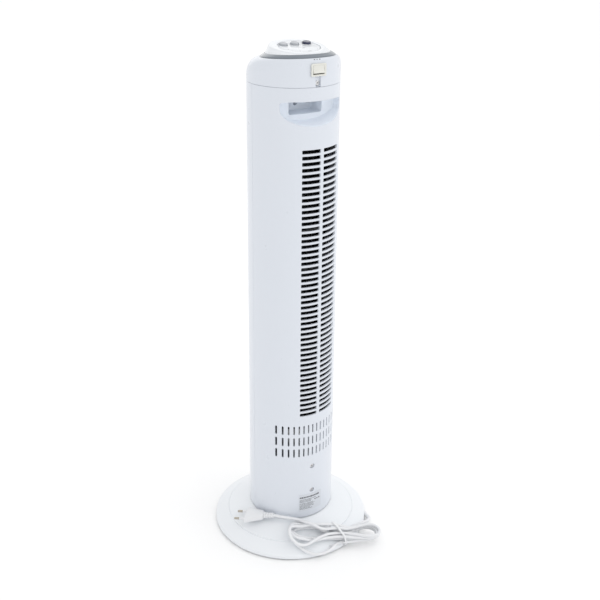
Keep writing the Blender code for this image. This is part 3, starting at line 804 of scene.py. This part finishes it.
def seated(radius, rise):
    """Circle in the trim ring's plane, or above it."""
    return ring(radius, RING_Z + rise, ROUND, (0.0, RING_Y), RING_SLOPE, RING_Y)


def leaning(radius, drop, centre=(0.0, RING_Y)):
    """Circle in the control panel's plane, or below it."""
    return ring(radius, PANEL_Z - drop, ROUND, centre, PANEL_SLOPE, RING_Y)


def panel_z(y):
    return PANEL_Z + PANEL_SLOPE * (y - RING_Y)


def build_panel():
    profile = [(RING_OUTER - 0.1, 0.25), (RING_OUTER, 0.4), (RING_OUTER, 0.8), (RING_OUTER - 0.25, 1.2)]
    profile += [(50.0, 2.65), (47.6, 4.05), (46.9, 4.5), (46.3, 4.7), (45.85, 4.7)]
    profile += [(RING_INNER, 4.45), (RING_INNER, 0.25)]
    net = skin_rings([seated(radius, rise) for radius, rise in profile], loop=True)
    make_piece("trim_ring_fine", net, SLATE, "column", ["trim_ring"])

    low, high = seated(45.05, 4.75), leaning(40.2, 1.5)
    rings = [seated(45.2, 0.6), seated(45.2, 4.4), low]
    for share in (0.35, 0.7):
        rings.append([tuple(Vector(a).lerp(Vector(b), share)) for a, b in zip(low, high)])
    rings += [high, leaning(39.9, 0.8), leaning(39.3, 0.3), leaning(38.4, 0.0)]
    for radius, drop in ((30.2, 0.0), (29.8, 0.2), (29.7, 0.5), (29.7, 2.9), (28.5, 2.9), (28.5, 4.6)):
        rings.append(leaning(radius, drop, PLATE_CENTRE))
    net = skin_rings(rings + [leaning(37.6, 4.4), seated(42.8, 0.6)], loop=True)
    make_piece("control_panel_fine", net, BASE_WHITE, "column", ["control_panel"])
    build_plate()

    profile = [(0.0, -5.0), (5.2, -5.0), (6.1, -4.6), (6.2, -4.2), (6.2, 1.35), (6.1, 1.85), (5.8, 2.25)]
    profile += [(5.3, 2.5), (4.6, 2.52), (3.6, 2.35), (2.0, 2.2), (0.0, 2.15)]
    looks = ((SILVER, "silver_button"), (SILVER, "silver_button"), (NAVY, "navy_button"))
    for side, x, (material, slot) in zip(("left", "middle", "right"), BUTTON_X, looks):
        name = side + "_button"
        matrix = placed((x, BUTTON_Y, panel_z(BUTTON_Y)), (1.0, 0.0, 0.0), PANEL_NORMAL)
        turned(name + "_cap", profile, material, name, [name], 56, matrix, 40.0)


def build_plate():
    """Round plate that lies in the panel, with a hole for each button."""
    flat = placed((*PLATE_CENTRE, panel_z(PLATE_CENTRE[1])), (1.0, 0.0, 0.0), PANEL_NORMAL)
    # The panel's circles are round in plan, so along its slope they are a little longer
    stretch = math.sqrt(1.0 + PANEL_SLOPE ** 2)
    places = [(x - PLATE_CENTRE[0], (BUTTON_Y - PLATE_CENTRE[1]) * stretch) for x in BUTTON_X]

    def on_plate(points, drop):
        return moved([(a, b, -drop) for a, b in points], flat)

    def rim(radius, drop):
        return on_plate(circle(radius, ROUND, tall=stretch), drop)

    walls = [(range(ROUND), [rim(28.53, 0.42), rim(28.6, 0.7)])]
    points = circle(28.3, ROUND, tall=stretch)
    edges = closed(0, ROUND)
    for place in places:
        rows = []
        for radius, drop in ((6.58, 0.38), (6.5, 0.65)):
            rows.append(on_plate(circle(radius, BUTTON_ROUND, *place), drop))
        walls.append((range(len(points), len(points) + BUTTON_ROUND), rows))
        edges += closed(len(points), BUTTON_ROUND)
        points += circle(6.75, BUTTON_ROUND, *place)
    spots, faces, number = filled(points, edges)
    net = bmesh.new()
    top, under = ([net.verts.new(point) for point in on_plate(spots, drop)] for drop in (0.3, 2.4))
    for face, middle in zip(faces, spots[faces].mean(1)):
        if all(math.dist(middle, place) >= 6.5 for place in places):
            net.faces.new([top[i] for i in face])
            net.faces.new([under[i] for i in reversed(face)])
    for span, rows in walls:
        last = extend(net, [top[number[i]] for i in span], rows)
        bridge(net, last, [under[number[i]] for i in span])
    make_piece("control_plate_fine", net, BASE_WHITE, "column", ["control_plate"])


def build_rocker():
    frame_rows = [(10.3, 7.4, 0.8, 50.0), (10.3, 7.4, 0.8, 66.15), (11.6, 8.3, 1.5, 66.15)]
    frame_rows += [(11.7, 8.4, 1.6, 66.35), (11.7, 8.4, 1.6, 67.1), (11.5, 8.2, 1.5, 67.5)]
    frame_rows += [(11.1, 7.8, 1.3, 67.7), (9.6, 7.0, 0.8, 67.7), (9.1, 6.2, 0.5, 67.55)]
    frame_rows += [(8.9, 6.0, 0.4, 67.2), (8.9, 6.0, 0.4, 62.0), (9.0, 6.4, 0.4, 61.0), (9.0, 6.4, 0.4, 53.0)]
    rings = []
    for half_a, half_b, radius, y in frame_rows:
        rings.append([(a, y, b + ROCKER_Z) for a, b in rounded_rectangle(half_a, half_b, radius)])
    net = skin_rings(rings, capped=True)
    make_piece("rocker_bezel_fine", net, CREAM, "column", ["rocker_bezel"], 40.0)

    front = [(6.4, 5.2), (6.7, 5.05), (6.8, 4.75)]
    for i in range(1, 12):
        z = 4.7 - 9.4 * i / 12
        front.append((5.55 + 1.22 * (z / 4.7) ** 2, z))
    front += [(6.8, -4.75), (6.7, -5.05), (6.4, -5.2)]
    outline = [(-4.0, -2.0), (-4.0, 2.0), (0.0, 5.1), (2.4, 5.22)] + front + [(2.4, -5.22), (0.0, -5.1)]
    rest = Matrix.Rotation(math.radians(ROCKER_REST), 2)
    rings = []
    for x, shrink in ((-8.6, 0.35), (-8.45, 0.12), (-8.1, 0.0), (8.1, 0.0), (8.45, 0.12), (8.6, 0.35)):
        row = []
        for corner in outline:
            scales = [(abs(part) - shrink) / abs(part) if abs(part) > 1.0 else 1.0 for part in corner]
            point = rest @ Vector([part * scale for part, scale in zip(corner, scales)])
            row.append((x, point.x + ROCKER_Y, point.y + ROCKER_Z))
        rings.append(row)
    net = skin_rings(rings, capped=True)
    make_piece("rocker_paddle", net, CREAM, "rocker", ["rocker"], 35.0)


def build_screw(name, z, head_y, low_y, turn, size=3.5):
    """Pan head with a cross recess; the head faces +Y."""
    outline = []
    for quarter in range(4):
        angle = math.radians(turn) + math.radians(90.0 * quarter)
        c, s = math.cos(angle), math.sin(angle)
        for a, b in ((0.58 * size, -0.4), (0.58 * size, 0.4), (0.5, 0.5)):
            outline.append((a * c - b * s, a * s + b * c))
    edges = closed(0, SCREW_ROUND) + closed(SCREW_ROUND, len(outline))
    spots, faces, number = filled(circle(size - 0.7, SCREW_ROUND) + outline, edges)
    net = bmesh.new()
    top = [net.verts.new((a, head_y, z + b)) for a, b in spots]
    for face in faces[~inside_outline(spots[faces].mean(1), outline)]:
        net.faces.new([top[i] for i in face])
    cross = [top[number[SCREW_ROUND + k]] for k in range(len(outline))]
    deep = [(a * 0.7, head_y - 1.5, z + b * 0.7) for a, b in outline]
    net.faces.new(extend(net, cross, [deep]))
    rows = []
    for inset, y in ((0.25, head_y - 0.22), (0.05, head_y - 0.6), (0.0, head_y - 1.1), (0.0, low_y)):
        rows.append([(a, y, z + b) for a, b in circle(size - inset, SCREW_ROUND)])
    net.faces.new(extend(net, [top[number[k]] for k in range(SCREW_ROUND)], rows))
    make_piece(name + "_head", net, ZINC, "column", [name], 35.0)


# ---------------------------------------------------------------- printing
def wall_patch(net, u0, u1, z0, z1, rise, thickness, radius_at):
    """Thin curved patch on the rear wall, over the given arc and heights."""
    rings = []
    for u in np.linspace(u0, u1, max(2, int(abs(u1 - u0) / 1.2) + 1)):
        angle = float(u) / ARC_R
        row = []
        for z, depth in ((z0, rise), (z1, rise), (z1, rise - thickness), (z0, rise - thickness)):
            radius = radius_at(z) + depth
            row.append((radius * math.sin(angle), radius * math.cos(angle), z))
        rings.append(row)
    skin_rings(rings, net, capped=True)


def build_label():
    net = bmesh.new()
    right, left = ARC_R * math.radians(-15.5), ARC_R * math.radians(19.0)
    wall_patch(net, right, left, 50.5, 81.5, 0.5, 0.35, column_radius)
    make_piece("rating_label_sheet", net, PAPER, "column", ["rating_label"])
    draw = random.Random(11)
    net = bmesh.new()
    rows = [(74.6, 3.2, 0.92), (71.6, 0.9, 0.75), (69.5, 0.9, 0.55), (67.4, 0.9, 0.5), (64.4, 0.9, 0.62)]
    rows += [(62.3, 0.9, 0.7), (60.2, 0.9, 0.6), (58.1, 0.9, 0.66), (56.0, 0.9, 0.45), (53.9, 0.9, 0.58)]
    for z, height, share in rows:
        u = left - 1.2
        end = u - share * (left - right - 2.4)
        while u > end + 1.0:
            width = draw.uniform(0.9, 2.6) * (1.3 if height > 2.0 else 1.0)
            low = max(u - width, end)
            rise = draw.uniform(0.0, 0.5) if height > 2.0 else 0.0
            wall_patch(net, low, u, z + rise, z + height - rise, 0.54, 0.1, column_radius)
            u = low - 0.5
    for i in range(3):
        u = right + 3.4 + 3.9 * i
        wall_patch(net, u, u + 2.0, 67.2, 69.6, 0.54, 0.1, column_radius)
    make_piece("rating_label_print", net, PRINT, "column", ())


def shoulder_radius(z):
    """Radius of the cap on the lower half of its rounded shoulder."""
    share = max(0.0, min(1.0, (z - 768.35) / 3.0))
    return HIGH_R - 2.5 * (1.0 - math.sqrt(1.0 - share ** 2))


def build_marks():
    """Plain dashes over the switch and along the rear of the control plate."""
    net = bmesh.new()
    for x, width in ((6.2, 1.8), (2.4, 1.5), (-1.8, 2.2)):
        u = arc_of(x, HIGH_R)
        wall_patch(net, u - width / 2, u + width / 2, 769.3, 770.4, 0.04, 0.08, shoulder_radius)
    make_piece("switch_marks", net, PRINT, "column", ())
    net = bmesh.new()
    for x, width in ((22.5, 2.2), (11.0, 2.6), (-3.0, 6.0), (-18.5, 2.0)):
        reach = 26.3
        turn = math.asin(min(0.98, (x - PLATE_CENTRE[0]) / reach))
        y = PLATE_CENTRE[1] + reach * math.cos(turn)
        matrix = placed((x, y, panel_z(y) - 0.3), (math.cos(turn), -math.sin(turn), 0.0), PANEL_NORMAL)
        corners = [(-width / 2, -0.4), (width / 2, -0.4), (width / 2, 0.4), (-width / 2, 0.4)]
        ends = [moved([(a, b, level) for a, b in corners], matrix) for level in (-0.04, 0.04)]
        skin_rings(ends, net, capped=True)
    make_piece("panel_marks", net, PRINT, "column", ())


def build_impeller():
    """Cross-flow impeller: end discs, stiffening rings and curved blades between them."""
    centre = Matrix.Translation((ROTOR_X, ROTOR_Y, 0.0))
    net = bmesh.new()
    low, high, thick, outer, count = 222.0, 646.0, 2.6, 44.0, 7
    levels = [low + (high - thick - low) * i / count for i in range(count + 1)]
    for i, z in enumerate(levels):
        inner = {0: 4.35, count: 3.35}.get(i, 31.5)
        hub = {0: 234.0, count: 636.0}.get(i)
        profile = [(inner, z), (outer - 0.4, z), (outer, z + 0.4), (outer, z + thick - 0.4)]
        profile += [(outer - 0.4, z + thick), (inner, z + thick)]
        if i == 0:
            profile[-1:] = [(12.6, z + thick), (12.0, z + thick + 0.6), (12.0, hub), (inner, hub)]
        if i == count:
            profile[:1] = [(inner, hub), (10.0, hub), (10.0, z - 0.6), (10.6, z)]
        rows = [moved(ring(radius, height, 72), centre) for radius, height in profile]
        skin_rings(rows, net, loop=True)
    blades, steps = 36, 6
    for k in range(blades):
        near, far = [], []
        for i in range(steps + 1):
            share = i / steps
            radius = outer - 0.5 - 10.5 * share
            angle = 2.0 * math.pi * k / blades + 0.32 * share ** 1.4
            half = 0.25 + 0.35 * math.sin(math.pi * share)
            near.append(((radius + half) * math.cos(angle), (radius + half) * math.sin(angle)))
            turn = angle + 2.0 * half / radius
            far.append(((radius - half) * math.cos(turn), (radius - half) * math.sin(turn)))
        outline = near + far[::-1]
        for z0, z1 in zip(levels, levels[1:]):
            ends = [moved([(x, y, z) for x, y in outline], centre) for z in (z0 + thick - 0.2, z1 + 0.2)]
            skin_rings(ends, net, capped=True)
    make_piece("impeller_fine", net, BLACK, "rotor", ["impeller"])


def keep_inside_nodes():
    """The hidden CAD nodes keep their shapes and get finer materials; four inner parts get black as painted
    shade.
    """
    finer = {
        "white_plastic": POCKET_PAINTED_LIGHT_WHITE, "black_plastic": BLACK, "steel": ZINC, "brass": BRASS,
        "rubber": RUBBER, "cord_white": CORD_WHITE, "grey_trim": SLATE, "cream_plastic": CREAM,
        "label_white": PAPER,
        "silver_button": SILVER, "navy_button": NAVY,
    }
    # These inner parts are coloured black rather than their own colour: painted shade for the dark inside of
    # the column seen through the slots.
    dark = ("scroll_guide", "vortex_guide", "bearing_plate", "motor_bracket")
    for obj in bpy.data.objects:
        if obj.type != "MESH" or obj.name not in frame["nodes"]:
            continue
        for slot in obj.material_slots:
            if obj.name in dark:
                slot.material = BLACK
            elif slot.material is not None:
                slot.material = finer.get(slot.material.name.split(".")[0], slot.material)


# ---------------------------------------------------------------- mains lead
def plan(a, b):
    """Point on the floor plan: a along the hank to its plug end, b towards the column."""
    run_x, run_y = HANK_RUN
    return (HANK_PLAN[0] + a * run_x - b * run_y, HANK_PLAN[1] + a * run_y + b * run_x)


# Top of the base, by radius, and how far down the strands that reach past its edge sink
GROUND = ((0.0, 36.6), (70.8, 35.7), (103.4, 21.0), (104.6, 19.8), (125.2, 8.9), (127.0, 8.2), (165.0, 6.4))


def resting_z(x, y):
    """Height of the cord's middle where it lies on the base or reaches past its edge."""
    radius = math.hypot(x, y)
    return float(np.interp(radius, [row[0] for row in GROUND], [row[1] for row in GROUND])) + CORD_R + 0.3


# Where the strands pass the tie, and the tip and radius of each fold
WAIST = (9.8, -9.8, 4.9, -4.9, 0.0, -7.3, 7.3, -2.4, 2.4)
NEAR_FOLDS = (None, (-73.0, 10.5), (-75.0, 3.0), (-77.0, -5.5))
FAR_FOLDS = ((71.0, 6.5), (74.0, 3.5), (70.0, 0.0), (73.0, -3.0))
SLACK_LOOP = (
    (-12, 10.5), (-30, 12), (-46, 14), (-60, 13.5), (-69, 8), (-72, -1), (-68, -10), (-61, -17), (-52, -24.5),
    (-38, -30), (-24, -28.5), (-12, -21.5), (-3, -14),
)
LEAD = (
    (-104.5, 64.5, 5.4), (-104.0, 72.0, 5.4), (-103.5, 81.0, 5.6), (-101.8, 88.0, 6.4), (-96.8, 94.8, 8.0),
    (-89.5, 98.9, 10.2), (-80.0, 100.6, 12.4), (-70.0, 101.9, 13.6),
)
LEAD_RUN = ((38, 24), (27, 15.5), (15, 11.5))
TAIL_RUN = ((-8, 1.5), (-25, 1.0), (-38, 5.0), (-48, 13), (-55, 22))
TAIL = (
    (33.0, 68.6, 40.4), (40.0, 63.6, 42.2), (47.0, 58.2, 43.9), (53.5, 52.5, 45.2), (59.34, 47.03, 45.66),
)


def ease(a0, b0, a1, b1, pieces=7):
    points = []
    for i in range(1, pieces):
        t = i / pieces
        points.append((a0 + (a1 - a0) * t, b0 + (b1 - b0) * t * t * (3 - 2 * t)))
    return points


def fold(b_out, b_in, tip, sign):
    """From the tie out to a tip, round it and back to the tie."""
    centre = tip[0] - sign * FOLD_R
    points = [(TIE_AT, b_out)]
    points += ease(TIE_AT + sign * 5, b_out, centre, tip[1] - sign * FOLD_R)
    for k in range(7):
        angle = math.radians(-90 + 30 * k)
        points.append((centre + sign * FOLD_R * math.cos(angle), tip[1] + sign * FOLD_R * math.sin(angle)))
    points += ease(centre, tip[1] + sign * FOLD_R, TIE_AT + sign * 5, b_in)
    return points


def cord_knots():
    """Whole route in the plan, with a height only where one is given."""
    flat = list(LEAD_RUN)
    for i in range(4):
        if NEAR_FOLDS[i] is None:
            flat += [(TIE_AT, WAIST[0])] + list(SLACK_LOOP)
        else:
            flat += fold(WAIST[2 * i], WAIST[2 * i + 1], NEAR_FOLDS[i], -1)
        flat += fold(WAIST[2 * i + 1], WAIST[2 * i + 2], FAR_FOLDS[i], 1)
    flat += [(TIE_AT, WAIST[8])] + list(TAIL_RUN)
    return list(LEAD) + [(*plan(a, b), None) for a, b in flat] + list(TAIL)


def catmull(knots, pieces=6):
    """Smooth curve through the knots."""
    k = np.array(knots, float)
    points = []
    for i in range(len(k) - 1):
        p0, p1, p2, p3 = k[max(i - 1, 0)], k[i], k[i + 1], k[min(i + 2, len(k) - 1)]
        for s in range(pieces):
            t = s / pieces
            bend = (2 * p0 - 5 * p1 + 4 * p2 - p3) * t * t + (3 * p1 - p0 - 3 * p2 + p3) * t ** 3
            points.append(0.5 * (2 * p1 + (p2 - p0) * t + bend))
    points.append(k[-1])
    return np.array(points)


def resample(points, spacing, measured=3):
    """Even steps along a path, whose length is measured in its first columns."""
    steps = np.linalg.norm(np.diff(points[:, :measured], axis=0), axis=1)
    run = np.concatenate([[0.0], np.cumsum(steps)])
    where = np.linspace(0.0, run[-1], int(round(run[-1] / spacing)) + 1)
    return np.stack([np.interp(where, run, points[:, i]) for i in range(points.shape[1])], -1)


def spread_up(z, reach):
    """Heights raised towards their highest neighbours, then smoothed."""
    padded = np.pad(z, reach, mode="edge")
    peak = np.max([padded[k:k + len(z)] for k in range(2 * reach + 1)], 0)
    padded = np.pad(peak, reach, mode="edge")
    return np.mean([padded[k:k + len(z)] for k in range(2 * reach + 1)], 0)


def lay_cord(gap=STRAND_GAP, chunk=16):
    """Lay the cord down from its exit on: each stretch rests on the base or on what lies below it."""
    marked = []
    for x, y, z in cord_knots():
        marked.append((x, y, resting_z(x, y), 0.0) if z is None else (x, y, z, 1.0))
    route = resample(catmull(marked), 4.0, 2)
    xy = route[:, :2]
    resting = np.array([resting_z(x, y) for x, y in xy])
    z = np.where(route[:, 3] > 0.5, route[:, 2], resting)
    count = len(xy)
    for start in range(0, count, chunk):
        end = min(start + chunk, count)
        for i in range(start, end):
            earlier = np.arange(0, max(0, i - 5))
            distance = np.hypot(*(xy[earlier] - xy[i]).T)
            close = distance < gap
            if close.any():
                z[i] = max(z[i], float((z[earlier][close] + np.sqrt(gap ** 2 - distance[close] ** 2)).max()))
        first = max(0, start - 8)
        stretch = spread_up(z[first:end], 2)
        weight = np.clip((np.arange(first, end) - first) / 8.0, 0.0, 1.0)
        z[first:end] = np.maximum(z[first:end], stretch * weight + z[first:end] * (1.0 - weight))
    for _ in range(4):
        z[1:-1] = np.maximum(z[1:-1], 0.25 * z[:-2] + 0.5 * z[1:-1] + 0.25 * z[2:])
    z[:6] = route[:6, 2]
    z[-4:] = route[-4:, 2]
    return np.column_stack([xy, z])


def tube_along(path, radii, steps=20, net=None):
    """Round tube with its own radius at every point of the path."""
    path = [Vector(point) for point in path]
    rings = []
    up = Vector((0.0, 0.0, 1.0))
    for i, point in enumerate(path):
        ahead = (path[min(i + 1, len(path) - 1)] - path[max(i - 1, 0)]).normalized()
        up = (up - ahead * up.dot(ahead)).normalized()
        side = ahead.cross(up)
        rings.append([tuple(point + side * a + up * b) for a, b in circle(radii[i], steps)])
    return skin_rings(rings, net, capped=True)


def build_sleeve(path):
    """Tapered strain relief with shallow ribs, moulded round the first stretch of the cord."""
    points = resample(path[:9], 0.5)[:56]
    radii = []
    for i in range(len(points)):
        along = i * 0.5
        radius = 3.4 if along < 10.0 else 3.1 - 0.3 * (along - 10.0) / 17.5
        if along > 11.0 and 0.9 < (along % 2.4) < 1.9:
            radius -= 0.22
        if i > 53:
            radius -= 0.12 * (i - 53)
        radii.append(radius)
    net = tube_along(points, radii, 28)
    return make_piece("cord_sleeve", net, CORD_WHITE, "base", ["cord_gland"], 50.0)


def hull_outline(points):
    """Convex outline of points in a plane, anticlockwise."""
    points = sorted(set((round(a, 4), round(b, 4)) for a, b in points))

    def half(run):
        chain = []
        for point in run:
            while len(chain) > 1:
                (ax, ay), (bx, by) = chain[-2:]
                if (bx - ax) * (point[1] - ay) - (by - ay) * (point[0] - ax) > 0:
                    break
                chain.pop()
            chain.append(point)
        return chain[:-1]

    return half(points) + half(points[::-1])


def build_tie(path):
    """Paper-covered wire wound once round the bundle and twisted shut."""
    middle = Vector((*plan(TIE_AT + 0.65, -0.5), 0.0))
    across = Vector((*(Vector(plan(*TIE_SLANT)) - Vector(plan(0.0, 0.0))).normalized(), 0.0))
    normal = Vector((across.y, -across.x, 0.0))
    crossings = []
    for first, second in zip(path, path[1:]):
        d0 = (Vector(first) - middle).dot(normal)
        d1 = (Vector(second) - middle).dot(normal)
        if d0 * d1 < 0:
            t = d0 / (d0 - d1)
            point = Vector(first).lerp(Vector(second), t)
            reach = (point - middle).dot(across)
            if abs(reach) < 22.0:
                crossings.append((reach, point.z))
    outline = hull_outline([point for crossing in crossings for point in circle(3.8, 24, *crossing)])
    loop = resample(np.array(outline + outline[:1]), 1.2)[:-1]
    ring_points = []
    for reach, z in loop:
        point = middle + across * float(reach)
        ring_points.append(Vector((point.x, point.y, z)))
    net = bmesh.new()
    rows = []
    count = len(ring_points)
    for i, point in enumerate(ring_points):
        ahead = (ring_points[(i + 1) % count] - ring_points[i - 1]).normalized()
        out = ahead.cross(normal).normalized()
        rows.append([tuple(point + 1.1 * a * out + 2.0 * b * normal) for a, b in circle(1.0, 12)])
    skin_rings(rows, net, loop=True)
    start = max(ring_points, key=lambda point: (point - middle).dot(across) + 0.2 * point.z)
    lie = Vector((*plan(-13.0, -15.5), 0.0))
    ahead = (lie - start).normalized()
    flat_side = Vector((-ahead.y, ahead.x, 0.0)).normalized()
    for side in (0.0, math.pi):
        strand = []
        for i in range(25):
            t = i / 24
            run = start.lerp(lie, t)
            run.z = start.z + 0.6 + 1.5 * math.sin(math.pi * t) * (1.0 - t)
            turn = side + 5.0 * math.pi * t
            spread = 0.75 if t < 0.75 else 0.75 + 3.0 * (t - 0.75)
            run += spread * (flat_side * math.cos(turn) + Vector((0.0, 0.0, 0.8)) * math.sin(turn))
            strand.append(run)
        tube_along(strand, [0.62] * len(strand), 8, net)
    return make_piece("cord_twist_tie", net, CORD_WHITE, "base", ["cord_tie"], 60.0)


def superellipse(half_a, half_b, power, steps=48):
    points = []
    for i in range(steps):
        angle = 2.0 * math.pi * i / steps
        c, s = math.cos(angle), math.sin(angle)
        a = math.copysign(abs(c) ** (2.0 / power), c) * half_a
        b = math.copysign(abs(s) ** (2.0 / power), s) * half_b
        points.append((a, b))
    return points


def build_plug():
    matrix = placed(PLUG_CENTRE, PLUG_AHEAD, PLUG_UP)
    sections = [(-0.4, 2.9, 2.9, 2.0), (0.0, 3.2, 3.2, 2.0)]
    for i in range(4):
        for run, inset in ((0.6, 1.3), (0.9, 0.2), (1.3, 0.0), (3.0, 0.0), (3.4, 0.2), (3.6, 1.3)):
            radius = 4.3 + 0.3 * i - inset
            sections.append((run + 4.1 * i, radius, radius, 2.0))
    sections += [(16.4, 4.2, 4.2, 2.0), (16.9, 5.6, 4.8, 2.1), (17.6, 7.4, 5.2, 2.3), (19.0, 8.7, 5.5, 2.5)]
    sections += [(22.0, 9.7, 5.9, 2.7), (30.0, 11.8, 6.15, 2.9), (38.0, 14.3, 6.25, 3.0)]
    sections += [(44.0, 16.3, 6.3, 3.1), (45.8, 16.9, 6.25, 3.1), (46.6, 16.9, 6.0, 3.1)]
    sections.append((47.0, 16.4, 5.5, 3.1))
    rings = []
    for along, *shape in sections:
        rings.append(moved([(along, a, b) for a, b in superellipse(*shape)], matrix))
    net = skin_rings(rings, capped=True)

    def pin(profile, side):
        rows = [[(along, a, b) for a, b in circle(radius, 24, side)] for along, radius in profile]
        return [moved(row, matrix) for row in rows]

    sleeve = [(46.9, 1.95), (56.6, 1.95), (57.0, 1.75), (57.0, 1.35), (46.9, 1.35)]
    metal = [(47.3, 1.25), (57.05, 1.25), (57.1, 1.9), (57.3, 2.0), (64.6, 2.0), (65.4, 1.75), (65.9, 1.2)]
    metal.append((66.0, 0.6))
    sides = (("plug_pin_left", 9.2), ("plug_pin_right", -9.2))
    for _, side in sides:
        skin_rings(pin(sleeve, side), net, loop=True)
    pieces = [make_piece("plug_shell", net, CORD_WHITE, "base", ["plug_body"], 40.0)]
    for name, side in sides:
        pin_net = skin_rings(pin(metal, side), capped=True)
        pieces.append(make_piece(name + "_metal", pin_net, NICKEL, "base", [name], 35.0))
    return pieces


def build_cord():
    path = lay_cord()
    curve = bpy.data.curves.new("mains_cord", "CURVE")
    curve.dimensions = "3D"
    curve.bevel_depth = CORD_R * MM
    curve.bevel_resolution = 4
    curve.use_fill_caps = True
    spline = curve.splines.new("POLY")
    spline.points.add(len(path) - 1)
    for target, point in zip(spline.points, path):
        target.co = (point[0] * MM, point[1] * MM, point[2] * MM, 1.0)
    spline.use_smooth = True
    curve.materials.append(CORD_WHITE)
    cord = add_object("mains_cord", curve)
    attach(cord, "base")
    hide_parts("cord_lead", "cord_hank", "cord_tail")
    on_it = [build_sleeve(path), build_tie(path)] + build_plug()


build_camera()
build_studio()
build_cord()
build_base()
build_rear_shell()
build_front_shell()
build_cap()
build_panel()
build_rocker()
build_screw("upper_rear_screw", SCREW_ZS[0], 66.3, 62.7, 20.0, 3.7)
build_screw("lower_rear_screw", SCREW_ZS[1], 66.4, 62.8, 55.0, 3.7)
build_screw("cap_screw", CAP_SCREW_Z, 63.9, 60.8, 35.0)
build_label()
build_marks()
build_impeller()
keep_inside_nodes()
